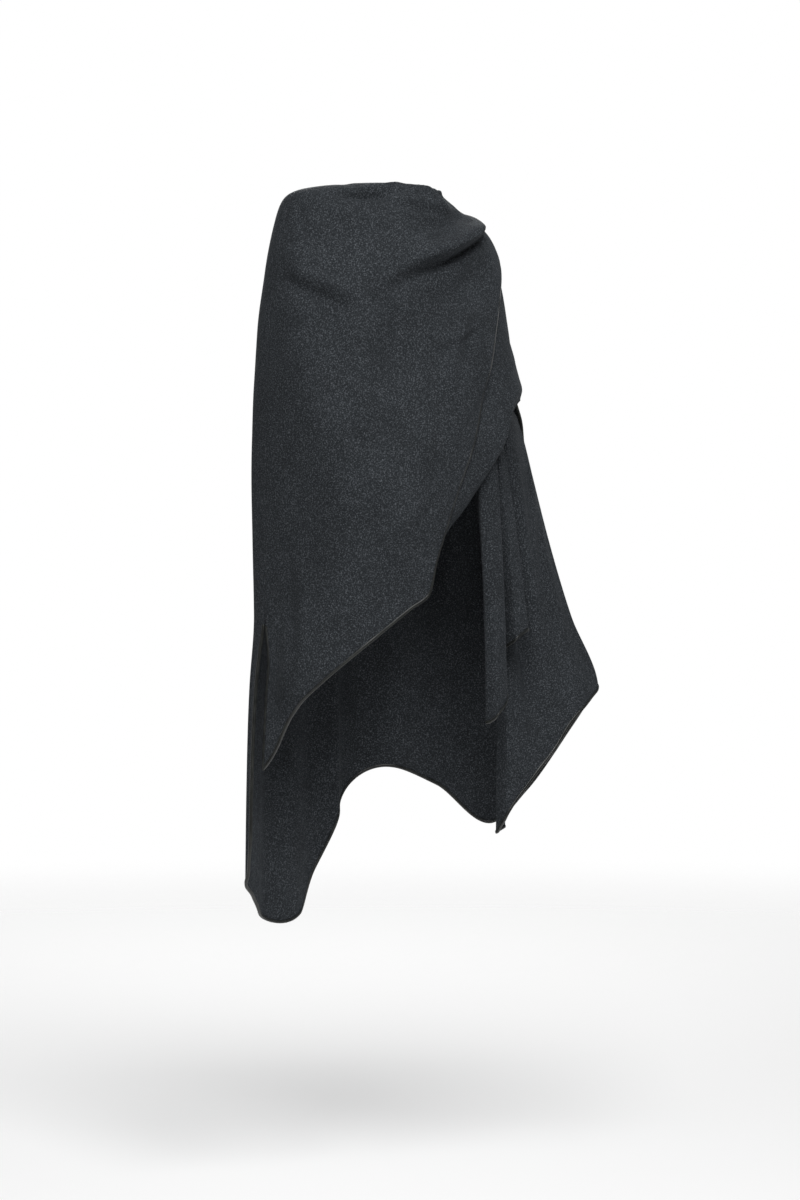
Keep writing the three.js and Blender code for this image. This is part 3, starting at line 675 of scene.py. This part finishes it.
@dataclass
class LeftSheet(Panel):
    """Hangs from inside the left front and flares to the left side line."""

    top_z: float = -222
    tuck: float = 15  # how far it starts inside the left front
    wave: float = 5

    def place(self, u: Array, v: Array) -> Array:
        """Turns back behind itself at its inner end."""
        stop = {
            name: Curve([row.at for row in SHEET_HEM], [getattr(row, name) for row in SHEET_HEM])(u)
            for name in ("deg", "x", "y", "z")
        }
        side_deg = 90 - SEAM_DEG
        deg = np.minimum(stop["deg"], side_deg)
        top = BODY.skin(deg, BODY.drop_at(deg, self.top_z), -self.tuck)
        hem = np.stack([stop["x"], stop["y"] - SEAM_GAP / 2, stop["z"]], -1)
        place = mix(top, hem, v[..., None])
        side = np.full(v.shape, side_deg)
        line_z = mix(self.top_z, SHEET_HEM[0].z, v)
        line = BODY.skin(side, BODY.drop_at(90, line_z), -self.tuck * (1 - smoothstep(v, 0.055, 0.13)))
        chord = mix(
            BODY.skin(side, BODY.drop_at(90, self.top_z), -self.tuck),
            BODY.skin(side, BODY.drop_at(90, SHEET_HEM[0].z), 0),
            v[..., None],
        )
        near = (1 - smoothstep(u, 0, 0.8)) ** 1.5
        place = place + (line - chord) * near[..., None]
        wave = self.wave * np.sin(np.pi * v) * np.sin(u * 9)
        creases = lift_of(ARM_HANGS, u * 120, v * 760) * smoothstep(v, 0.1, 0.35)
        place[..., 1] += (wave - 0.8 * creases) * smoothstep(u, 0, 0.2) - SEAM_GAP
        return place


@dataclass(frozen=True)
class FallStop:
    """A turn or face of the two rolled folds."""

    deg: float
    tuck: float
    x: float
    y: float
    z: float


FALL = [
    FallStop(16, 40, 97, -128, -742),
    FallStop(15, 27, 68, -144, -756),
    FallStop(19, 20, 72, -164, -743),
    FallStop(25, 22, 95, -158, -723),
    FallStop(24, 38, 109, -133, -690),
    FallStop(26, 44, 127, -113, -652),
    FallStop(31, 28, 132, -143, -629),
    FallStop(36, 28, 159, -139, -616),
    FallStop(33, 44, 163, -113, -628),
]


@dataclass
class LeftFall(Panel):
    """The two rolled folds that hang from inside the left front's turned edge."""

    left_front: LeftFront | None = None
    start: float = 30  # how far above that edge they start
    seated_at: float = 3  # the turn that touches the left front
    seat: float = 3.1  # between the middles of the two walls there
    bow: float = 5

    def place(self, u: Array, v: Array) -> Array:
        """Follows the turns of the folds, from the inside outwards."""
        stops = list(range(len(FALL)))
        at = u * stops[-1]
        stop = {
            name: Curve(stops, [getattr(row, name) for row in FALL])(at)
            for name in ("deg", "tuck", "x", "y", "z")
        }
        deg = stop["deg"]
        edge = BODY.drop_at(deg, TURNED_EDGE(deg))
        start = edge - self.start
        seated = np.exp(-2 * (at - self.seated_at) ** 2) * (1 - smoothstep(v, 0, 0.1))
        lift = self.left_front.lift(deg, start, edge) - mix(stop["tuck"], self.seat, seated)
        hem = np.stack([stop["x"], stop["y"], stop["z"]], -1)
        place = mix(BODY.skin(deg, start, lift), hem, v[..., None])
        place[..., 1] -= self.bow * np.sin(np.pi * v)
        return place


def soft_floor(lift: Array, floor: Array | float, soft: float = 1.2) -> Array:
    """Returns a lift kept above a floor, with a rounded turn on to it."""
    above = lift - floor
    return floor + 0.5 * (above + np.sqrt(above**2 + soft**2)) - 0.5 * soft


def side_opening(deg: Array, drop: Array, u: Array, share: float) -> Array:
    """Returns how far the side opening on the right is spread at each place, 0 to 1."""
    down = -BODY.point(deg, drop)[..., 2]
    return smoothstep(down, -APEX_Z, OPEN_DROP - APEX_Z) * (1 - smoothstep(u, 0, share))


def back_lift(round_it: Array, drop: Array) -> Array:
    """Returns the lift of the back's folds, which fade out towards the two side lines."""
    clear = smoothstep(round_it, 90, 106) * (1 - smoothstep(round_it, 252, 270))
    return clear * lift_of([*BACK_FOLDS, *BACK_CREASES], round_it, drop)


def linear(colour: str) -> tuple[float, float, float, float]:
    """Turns an sRGB hex colour into linear light.

    Args:
        colour: Six hex digits, with or without a leading #.

    Returns:
        Red, green, blue and an alpha of 1.
    """
    parts = [int(colour.lstrip("#")[i : i + 2], 16) / 255 for i in (0, 2, 4)]
    light = [c / 12.92 if c <= 0.04045 else ((c + 0.055) / 1.055) ** 2.4 for c in parts]
    return (*light, 1.0)


def add_node(
    tree: bpy.types.NodeTree,
    kind: str,
    settings: dict[str, Any] | None = None,
    **links: Any,
) -> bpy.types.Node:
    """Adds a node with its settings and links.

    Args:
        tree: The node tree.
        kind: The node's type.
        settings: Properties of the node.
        **links: Values or output sockets for its inputs, a space in a name written as _.

    Returns:
        The node.
    """
    node = tree.nodes.new(kind)
    for name, value in (settings or {}).items():
        setattr(node, name, value)
    for name, value in links.items():
        title = name.replace("_", " ")
        socket = next(s for s in node.inputs if s.name == title and s.enabled)
        if isinstance(value, bpy.types.NodeSocket):
            tree.links.new(value, socket)
        else:
            socket.default_value = value
    return node


class Finish:
    """A surface finish: makes its material once and puts it on pieces."""

    name: str = "finish"

    def material(self) -> bpy.types.Material:
        """Returns the finish's material, made on the first call."""
        made = bpy.data.materials.get(self.name)
        if made is None:
            made = bpy.data.materials.new(self.name)
            made.use_nodes = True
            made.node_tree.nodes.clear()
            surface = self.surface(made.node_tree)
            add_node(made.node_tree, "ShaderNodeOutputMaterial", Surface=surface.outputs[0])
        return made

    def surface(self, tree: bpy.types.NodeTree) -> bpy.types.Node:
        """Returns the shader node of the finish."""
        raise NotImplementedError

    def dress(self, piece: bpy.types.Object) -> None:
        """Puts the finish on a piece."""
        piece.data.materials.clear()
        piece.data.materials.append(self.material())


@dataclass(frozen=True)
class FeltedWool(Finish):
    """Melange wool, woven and then felted and brushed.

    Dark and pale fibres are blended before spinning, so that the eye sees charcoal with fine pale
    flecks. The raised nap hides the weave and gives a matt face with a soft light edge.
    """

    name: str = "felted_melange_wool"
    dark: str = "#1f2225"
    mid: str = "#292c2f"
    pale: str = "#5a5e63"
    fleck_mm: float = 2.0  # real flecks are about 1 mm, drawn coarser so that they show
    fibre_mm: float = 1.2
    cloud_mm: float = 60.0

    def surface(self, tree: bpy.types.NodeTree) -> bpy.types.Node:
        """Builds flecks over soft clouds, with a bump of nap and a sheen."""
        place = add_node(tree, "ShaderNodeTexCoord").outputs["Object"]
        flecks = add_node(
            tree,
            "ShaderNodeTexNoise",
            Vector=place,
            Scale=1 / (self.fleck_mm * MM),
            Detail=3.0,
            Roughness=0.7,
        )
        fibres = add_node(
            tree,
            "ShaderNodeTexNoise",
            Vector=place,
            Scale=1 / (self.fibre_mm * MM),
            Detail=2.0,
            Roughness=0.6,
        )
        clouds = add_node(
            tree, "ShaderNodeTexNoise", Vector=place, Scale=1 / (self.cloud_mm * MM), Detail=3.0
        )
        ramp = add_node(tree, "ShaderNodeValToRGB", Fac=flecks.outputs["Fac"])
        stops = ramp.color_ramp.elements
        stops[0].position, stops[0].color = 0.36, linear(self.dark)
        stops[1].position, stops[1].color = 0.70, linear(self.pale)
        middle = stops.new(0.52)
        middle.color = linear(self.mid)
        shade = add_node(
            tree,
            "ShaderNodeMapRange",
            Value=clouds.outputs["Fac"],
            From_Min=0.3,
            From_Max=0.7,
            To_Min=0.88,
            To_Max=1.1,
        )
        colour = add_node(
            tree,
            "ShaderNodeVectorMath",
            {"operation": "SCALE"},
            Vector=ramp.outputs["Color"],
            Scale=shade.outputs["Result"],
        )
        nap = add_node(
            tree,
            "ShaderNodeBump",
            Height=fibres.outputs["Fac"],
            Strength=0.5,
            Distance=0.6 * MM,
        )
        felt = add_node(
            tree,
            "ShaderNodeBump",
            Height=flecks.outputs["Fac"],
            Strength=0.45,
            Distance=0.9 * MM,
            Normal=nap.outputs["Normal"],
        )
        return add_node(
            tree,
            "ShaderNodeBsdfPrincipled",
            Base_Color=colour.outputs["Vector"],
            Roughness=0.92,
            IOR=1.45,
            Specular_IOR_Level=0.15,
            Sheen_Weight=0.08,
            Sheen_Roughness=0.45,
            Sheen_Tint=linear("#8f979f"),
            Normal=felt.outputs["Normal"],
        )


@dataclass(frozen=True)
class LeatherBinding(Finish):
    """Thin smooth leather folded over the cloth's edge.

    Rolling and finishing leave a close grain with a low gloss, which catches bright light
    where it is seen at a flat angle.
    """

    name: str = "smooth_leather_binding"
    dark: str = "#0f1110"
    worn: str = "#232522"
    grain_mm: float = 0.9
    patch_mm: float = 14.0

    def surface(self, tree: bpy.types.NodeTree) -> bpy.types.Node:
        """Builds a pebbled grain with slightly worn patches."""
        place = add_node(tree, "ShaderNodeTexCoord").outputs["Object"]
        grain = add_node(
            tree, "ShaderNodeTexVoronoi", Vector=place, Scale=1 / (self.grain_mm * MM)
        )
        patch = add_node(
            tree, "ShaderNodeTexNoise", Vector=place, Scale=1 / (self.patch_mm * MM), Detail=4.0
        )
        ramp = add_node(tree, "ShaderNodeValToRGB", Fac=patch.outputs["Fac"])
        stops = ramp.color_ramp.elements
        stops[0].position, stops[0].color = 0.35, linear(self.dark)
        stops[1].position, stops[1].color = 0.70, linear(self.worn)
        gloss = add_node(
            tree,
            "ShaderNodeMapRange",
            Value=patch.outputs["Fac"],
            From_Min=0.3,
            From_Max=0.7,
            To_Min=0.30,
            To_Max=0.42,
        )
        bump = add_node(
            tree, "ShaderNodeBump", Height=grain.outputs["Distance"], Strength=0.25, Distance=0.15 * MM
        )
        return add_node(
            tree,
            "ShaderNodeBsdfPrincipled",
            Base_Color=ramp.outputs["Color"],
            Roughness=gloss.outputs["Result"],
            IOR=1.5,
            Normal=bump.outputs["Normal"],
        )


@dataclass(frozen=True)
class SewingThread(Finish):
    """Spun polyester thread: fine twisted plies with a dull shine, partly from its gloss and partly a
    painted highlight on each ply.
    """

    name: str = "spun_sewing_thread"
    colour: str = "#1b1d1f"
    # painted highlight: the pale colour that stands in for light catching the ridge of each ply
    painted_ply_highlight: str = "#3b3e42"
    ply_mm: float = 0.5

    def surface(self, tree: bpy.types.NodeTree) -> bpy.types.Node:
        """Builds the twist of the plies as slanted bands: the thread's own dark colour with a painted
        highlight along each ply.
        """
        place = add_node(tree, "ShaderNodeTexCoord").outputs["Object"]
        twist = add_node(
            tree,
            "ShaderNodeTexWave",
            {"bands_direction": "DIAGONAL"},
            Vector=place,
            Scale=1 / (self.ply_mm * MM) / math.tau,
            Distortion=0.5,
        )
        ramp = add_node(tree, "ShaderNodeValToRGB", Fac=twist.outputs["Fac"])
        stops = ramp.color_ramp.elements
        # The dark stop is the thread's own colour; the pale stop is a painted highlight where light
        # would catch each ply.
        stops[0].color, stops[1].color = linear(self.colour), linear(self.painted_ply_highlight)
        return add_node(
            tree, "ShaderNodeBsdfPrincipled", Base_Color=ramp.outputs["Color"], Roughness=0.6
        )


@dataclass(frozen=True)
class PaleFloor(Finish):
    """Matt studio paint, which fades out towards its rim so that no edge shows."""

    name: str = "pale_studio_floor"
    colour: str = "#f7f7f7"
    clear_m: float = 0.8  # the floor is whole up to here
    gone_m: float = 5.9  # and gone from here on

    def surface(self, tree: bpy.types.NodeTree) -> bpy.types.Node:
        """Builds the paint and its fade by distance from the middle."""
        place = add_node(tree, "ShaderNodeTexCoord").outputs["Object"]
        far = add_node(tree, "ShaderNodeVectorMath", {"operation": "LENGTH"}, Vector=place)
        share = add_node(
            tree,
            "ShaderNodeMapRange",
            {"interpolation_type": "SMOOTHSTEP"},
            Value=far.outputs["Value"],
            From_Min=self.clear_m,
            From_Max=self.gone_m,
        )
        speck = add_node(tree, "ShaderNodeTexNoise", Vector=place, Scale=90.0, Detail=2.0)
        bump = add_node(
            tree, "ShaderNodeBump", Height=speck.outputs["Fac"], Strength=0.05, Distance=1 * MM
        )
        paint = add_node(
            tree,
            "ShaderNodeBsdfPrincipled",
            Base_Color=linear(self.colour),
            Roughness=0.8,
            Normal=bump.outputs["Normal"],
        )
        clear = add_node(tree, "ShaderNodeBsdfTransparent")
        fade = add_node(tree, "ShaderNodeMixShader", Fac=share.outputs["Result"])
        tree.links.new(paint.outputs[0], fade.inputs[1])
        tree.links.new(clear.outputs[0], fade.inputs[2])
        return fade


@dataclass
class Binding:
    """A leather strip folded over a panel's free edge, and its stitching.

    Attributes:
        node: The CAD node that it stands for.
        panel: The cloth that it binds.
        places: Grid places of the edge, in order, as columns and rows.
        hangs: Whether the strip hangs straight down from its edge.
    """

    node: str
    panel: Panel
    places: Array
    hangs: bool = False
    step: float = 4.0  # between sections along the strip
    reach: float = 1.5  # how far the fold stands past the cloth's edge
    leg: float = 3.4  # how far it covers the cloth on each side
    skin: float = 0.9  # thickness of the leather
    clear: float = 0.12  # between leather and cloth
    stitch_pitch: float = 3.4
    stitch_length: float = 2.3
    stitch_radius: float = 0.3
    stitch_in: float = 2.3  # from the cloth's edge to the stitching

    def path(self) -> tuple[Array, Array, Array]:
        """Follows the cloth's edge at even steps.

        Returns:
            The points, the outward directions and the directions past the edge.
        """
        grid = self.panel.lay()
        i, j = self.places.T
        point, out = grid.point[i, j], grid.out[i, j]
        columns, rows = grid.point.shape[:2]
        inner = grid.point[np.clip(i, 3, columns - 4), np.clip(j, 3, rows - 4)]
        length = np.linalg.norm(np.diff(point, axis=0), axis=1)
        keep = np.concatenate([[True], length > 1e-6])
        point, out, inner = point[keep], out[keep], inner[keep]
        way = np.concatenate([[0.0], np.cumsum(np.linalg.norm(np.diff(point, axis=0), axis=1))])
        at = np.linspace(0.0, way[-1], max(int(way[-1] / self.step), 8))
        point, facing, inner = (
            np.stack([np.interp(at, way, line[:, k]) for k in range(3)], -1)
            for line in (point, out, inner)
        )
        out = unit(soften(facing, 2))
        run = unit(np.gradient(point, axis=0))
        past = unit(np.cross(run, out))
        if self.hangs:
            past = np.broadcast_to(np.array([0.0, 0.0, -1.0]), point.shape)
            out = unit(np.cross(past, run))
            out *= np.sign((out * facing).sum(-1, keepdims=True))
        else:
            past = past * -np.sign((past * (inner - point)).sum(-1, keepdims=True))
            past = unit(soften(past, 2))
            out = unit(out - past * (out * past).sum(-1, keepdims=True))
        return point, out, past

    def profile(self) -> Array:
        """Returns the strip's section: across past the edge, and out from the cloth's middle."""
        near = WOOL_THICKNESS / 2 + self.clear
        far = near + self.skin
        turn = np.radians([70, 35, 0, -35, -70])
        nose = np.stack([self.reach - 1.2 + 1.2 * np.cos(turn), far * np.sin(turn)], -1)
        upper = np.array([[-self.leg, near + 0.25], [-self.leg + 0.5, far], [-1.2, far], [-0.1, far]])
        inner = np.array([[0.3, near], [0.3, -near]])
        return np.concatenate([upper, nose, upper[::-1] * [1, -1], inner[::-1]])

    def build(self, finish: Finish) -> bpy.types.Object:
        """Sweeps the section along the edge.

        Args:
            finish: The leather.

        Returns:
            The strip's object.
        """
        point, out, past = self.path()
        section = self.profile()
        rings = (
            point[:, None]
            + past[:, None] * section[None, :, :1]
            + out[:, None] * section[None, :, 1:]
        )
        count, size = rings.shape[:2]
        corner = np.arange(size)
        a = np.arange(count - 1)[:, None] * size + corner
        b = np.arange(count - 1)[:, None] * size + np.roll(corner, -1)
        faces = np.stack([a, b, b + size, a + size], -1).reshape(-1, 4)
        last = (count - 1) * size
        caps = [[k, size - 1 - k, size - 2 - k, k + 1] for k in range(size // 2 - 1)]
        caps = np.array(caps)
        faces = np.concatenate([faces, caps, caps[:, ::-1] + last])
        made = mesh_object(f"leather_{self.node}", rings.reshape(-1, 3), faces)
        face_outwards(made)
        finish.dress(made)
        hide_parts(self.node)
        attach(made, "root")
        return made

    def stitch(self, finish: Finish) -> bpy.types.Object:
        """Lays a row of short stitches on each side of the strip.

        Args:
            finish: The thread.

        Returns:
            One object with all the strip's stitches.
        """
        point, out, past = self.path()
        way = np.concatenate([[0.0], np.cumsum(np.linalg.norm(np.diff(point, axis=0), axis=1))])
        at = np.arange(self.stitch_pitch, way[-1] - self.stitch_pitch, self.stitch_pitch)
        middle, normal, across = (
            np.stack([np.interp(at, way, line[:, k]) for k in range(3)], -1)
            for line in (point, out, past)
        )
        run = unit(np.gradient(middle, axis=0))
        high = WOOL_THICKNESS / 2 + self.clear + self.skin
        swell = np.array([0.25, 1.0, 1.0, 0.25]) * self.stitch_radius
        ahead = np.array([-0.5, -0.28, 0.28, 0.5]) * self.stitch_length
        sink = np.array([-0.25, 0.0, 0.0, -0.25])
        turn = np.radians([0, 90, 180, 270])
        parts = []
        for side in (1.0, -1.0):
            base = middle - across * self.stitch_in + normal * side * high
            for k in range(4):
                centre = base + run * ahead[k] + normal * side * sink[k]
                ring = centre[:, None] + swell[k] * (
                    across[:, None] * np.cos(turn)[None, :, None]
                    + normal[:, None] * np.sin(turn)[None, :, None]
                )
                parts.append(ring)
        stacked = np.stack(parts, 1).reshape(len(at), 2, 4, 4, 3)
        stacked = stacked.reshape(-1, 16, 3)
        faces = []
        for k in range(3):
            for side in range(4):
                following = (side + 1) % 4
                faces.append([4 * k + side, 4 * k + following, 4 * k + 4 + following, 4 * k + 4 + side])
        faces += [[3, 2, 1, 0], [12, 13, 14, 15]]
        every = np.arange(len(stacked))[:, None, None] * 16 + np.array(faces)[None]
        made = mesh_object(
            f"stitching_{self.node}", stacked.reshape(-1, 3), every.reshape(-1, 4)
        )
        face_outwards(made)
        finish.dress(made)
        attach(made, "root")
        return made


def unit(lines: Array) -> Array:
    """Returns directions of length 1."""
    return lines / np.maximum(np.linalg.norm(lines, axis=-1, keepdims=True), 1e-9)


def soften(lines: Array, times: int) -> Array:
    """Returns rows averaged with their neighbours, the two ends kept."""
    for _ in range(times):
        lines = np.concatenate(
            [lines[:1], (lines[:-2] + 2 * lines[1:-1] + lines[2:]) / 4, lines[-1:]]
        )
    return lines


def face_outwards(piece: bpy.types.Object) -> None:
    """Turns the faces of a closed mesh outwards."""
    work = bmesh.new()
    work.from_mesh(piece.data)
    bmesh.ops.recalc_face_normals(work, faces=work.faces)
    work.to_mesh(piece.data)
    work.free()


def lower_edge(panel: Panel, first: int = 0) -> Array:
    """Returns the grid places of a panel's lower edge, from one column on."""
    columns, rows = panel.lay().point.shape[:2]
    return np.stack([np.arange(first, columns), np.full(columns - first, rows - 1)], -1)


def side_edge(panel: Panel, below_z: float) -> Array:
    """Returns the grid places of a panel's first column, below a height."""
    z = panel.lay().point[0, :, 2]
    rows = np.arange(int(np.argmax(z < below_z)), len(z))
    return np.stack([np.zeros(len(rows), int), rows], -1)


@dataclass
class Cape:
    """The whole garment: six stretches of one cloth and five bound edges."""

    wool: FeltedWool = field(default_factory=FeltedWool)
    leather: LeatherBinding = field(default_factory=LeatherBinding)
    thread: SewingThread = field(default_factory=SewingThread)

    def panels(self) -> dict[str, Panel]:
        """Returns the stretches of cloth by node."""
        left_front = LeftFront("left_front", 120, 110, (0.34, 0.42), 0.08)
        made = [
            RightFront("right_front", 260, 190, (0.62, 0.9), 0.3, ("wool_left_front",)),
            ThrownEnd("right_front_end", 110, 110, (0.28, 0.54), 0.092, ("wool_back",)),
            left_front,
            Back("back", 240, 200, (0.62, 1.16), 0.626),
            LeftSheet("left_front_sheet", 110, 110, (0.28, 0.74), 0.115),
            LeftFall("left_front_fall", 220, 80, (0.24, 0.38), 0.065, left_front=left_front),
        ]
        return {panel.node: panel for panel in made}

    def bindings(self, panels: dict[str, Panel]) -> list[Binding]:
        """Returns the bound edges of the panels."""
        front, end = panels["right_front"], panels["right_front_end"]
        back, sheet, fall = (panels[n] for n in ("back", "left_front_sheet", "left_front_fall"))
        side_z = APEX_Z - BINDING_START
        return [
            Binding(
                "binding_right_front",
                front,
                np.concatenate([side_edge(front, side_z), lower_edge(front, 1)]),
            ),
            Binding(
                "binding_right_front_end",
                end,
                np.concatenate([side_edge(end, -30), lower_edge(end, 1)]),
            ),
            Binding(
                "binding_back",
                back,
                np.concatenate([side_edge(back, side_z), lower_edge(back, 1)]),
            ),
            Binding("binding_left_front_sheet", sheet, lower_edge(sheet)),
            Binding("binding_left_front_fall", fall, lower_edge(fall), hangs=True),
        ]

    def build(self) -> None:
        panels = self.panels()
        trims: dict[str, list[bpy.types.Object]] = {node: [] for node in panels}
        for node, panel in panels.items():
            panel.build(self.wool)
        for binding in self.bindings(panels):
            for piece in (binding.build(self.leather), binding.stitch(self.thread)):
                trims[binding.panel.node].append(piece)
                log.info("%s: %d faces", piece.name, len(piece.data.polygons))


@dataclass
class Studio:
    """A pale floor, a bright room and soft lights."""

    floor_z: float = -1.475
    floor_half: float = 6.0
    wall_way: tuple[float, float, float] = (0.669, 0.743, 0.0)  # behind the garment
    wall_full: float = 0.93  # cosines of the angles up to which the wall is at its brightest
    wall_ends: float = 0.62  # and from which the room has its own light alone
    room_glow: float = 0.16

    def build(self) -> None:
        """Builds the floor, the room's light and the lamps."""
        self.floor()
        self.room()
        bpy.context.scene.view_settings.view_transform = "Standard"  # keeps the white room white
        self.lamp("key", (-1.6, -2.6, 2.4), 2.4, 172.0)
        self.lamp("back", (2.4, 3.2, 1.9), 1.8, 110.0)
        self.lamp("top", (-2.4, -1.4, 3.4), 1.4, 10.0)

    def floor(self) -> None:
        """Lays the floor."""
        corners = np.array([[-1, -1, 0], [1, -1, 0], [1, 1, 0], [-1, 1, 0]], float)
        floor = mesh_object("studio_floor", corners * self.floor_half / MM, np.array([[0, 1, 2, 3]]))
        floor.location.z = self.floor_z
        PaleFloor().dress(floor)

    def room(self) -> None:
        """Fills the room with soft pale light, brightest at the wall behind the garment."""
        world = bpy.data.worlds.new("studio_room")
        bpy.context.scene.world = world
        world.use_nodes = True
        tree = world.node_tree
        tree.nodes.clear()
        way = add_node(tree, "ShaderNodeTexCoord").outputs["Generated"]
        towards_wall = add_node(tree, "ShaderNodeVectorMath", {"operation": "DOT_PRODUCT"})
        tree.links.new(way, towards_wall.inputs[0])
        towards_wall.inputs[1].default_value = self.wall_way
        strength = add_node(
            tree,
            "ShaderNodeMapRange",
            {"interpolation_type": "SMOOTHSTEP"},
            Value=towards_wall.outputs["Value"],
            From_Min=self.wall_ends,
            From_Max=self.wall_full,
            To_Min=self.room_glow,
            To_Max=1.0,
        )
        glow = add_node(
            tree,
            "ShaderNodeBackground",
            Color=linear("#ffffff"),
            Strength=strength.outputs["Result"],
        )
        add_node(tree, "ShaderNodeOutputWorld", Surface=glow.outputs[0])

    def lamp(self, name: str, place: tuple[float, float, float], size: float, power: float) -> None:
        """Hangs one soft square lamp that faces the garment.

        Args:
            name: The lamp's name.
            place: Where it hangs, in m.
            size: Its width, in m.
            power: Its power, in W.
        """
        light = bpy.data.lights.new(f"studio_{name}", "AREA")
        light.shape = "SQUARE"
        light.size = size
        light.energy = power
        lamp = bpy.data.objects.new(f"studio_{name}", light)
        lamp.location = place
        aim = Vector((0.0, 0.0, -0.5)) - Vector(place)
        lamp.rotation_euler = aim.to_track_quat("-Z", "Y").to_euler()
        bpy.context.scene.collection.objects.link(lamp)


@dataclass
class Camera:
    """The camera at the photograph's angle."""

    azimuth: float = -42.0
    distance: float = 4.5
    height: float = -0.57
    right: float = 0.0153  # how far it stands to the right of the origin's axis
    lens: float = 88.2
    sensor: float = 36.0

    def build(self) -> None:
        """Places the camera level, looking at the garment's middle height."""
        turn = math.radians(self.azimuth)
        back = Vector((math.sin(turn), -math.cos(turn), 0.0))
        across = Vector((math.cos(turn), math.sin(turn), 0.0))
        data = bpy.data.cameras.new("camera")
        data.lens = self.lens
        data.sensor_width = self.sensor
        data.clip_start, data.clip_end = 0.05, 60.0
        camera = bpy.data.objects.new("camera", data)
        camera.location = back * self.distance + across * self.right + Vector((0, 0, self.height))
        camera.rotation_euler = (-back).to_track_quat("-Z", "Y").to_euler()
        bpy.context.scene.collection.objects.link(camera)
        bpy.context.scene.camera = camera


def main() -> None:
    """Builds the garment, the studio and the camera."""
    logging.basicConfig(level=logging.INFO, format="%(name)s: %(message)s")
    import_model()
    Cape().build()
    Studio().build()
    Camera().build()
    bpy.context.view_layer.update()


if __name__ == "__main__":
    main()
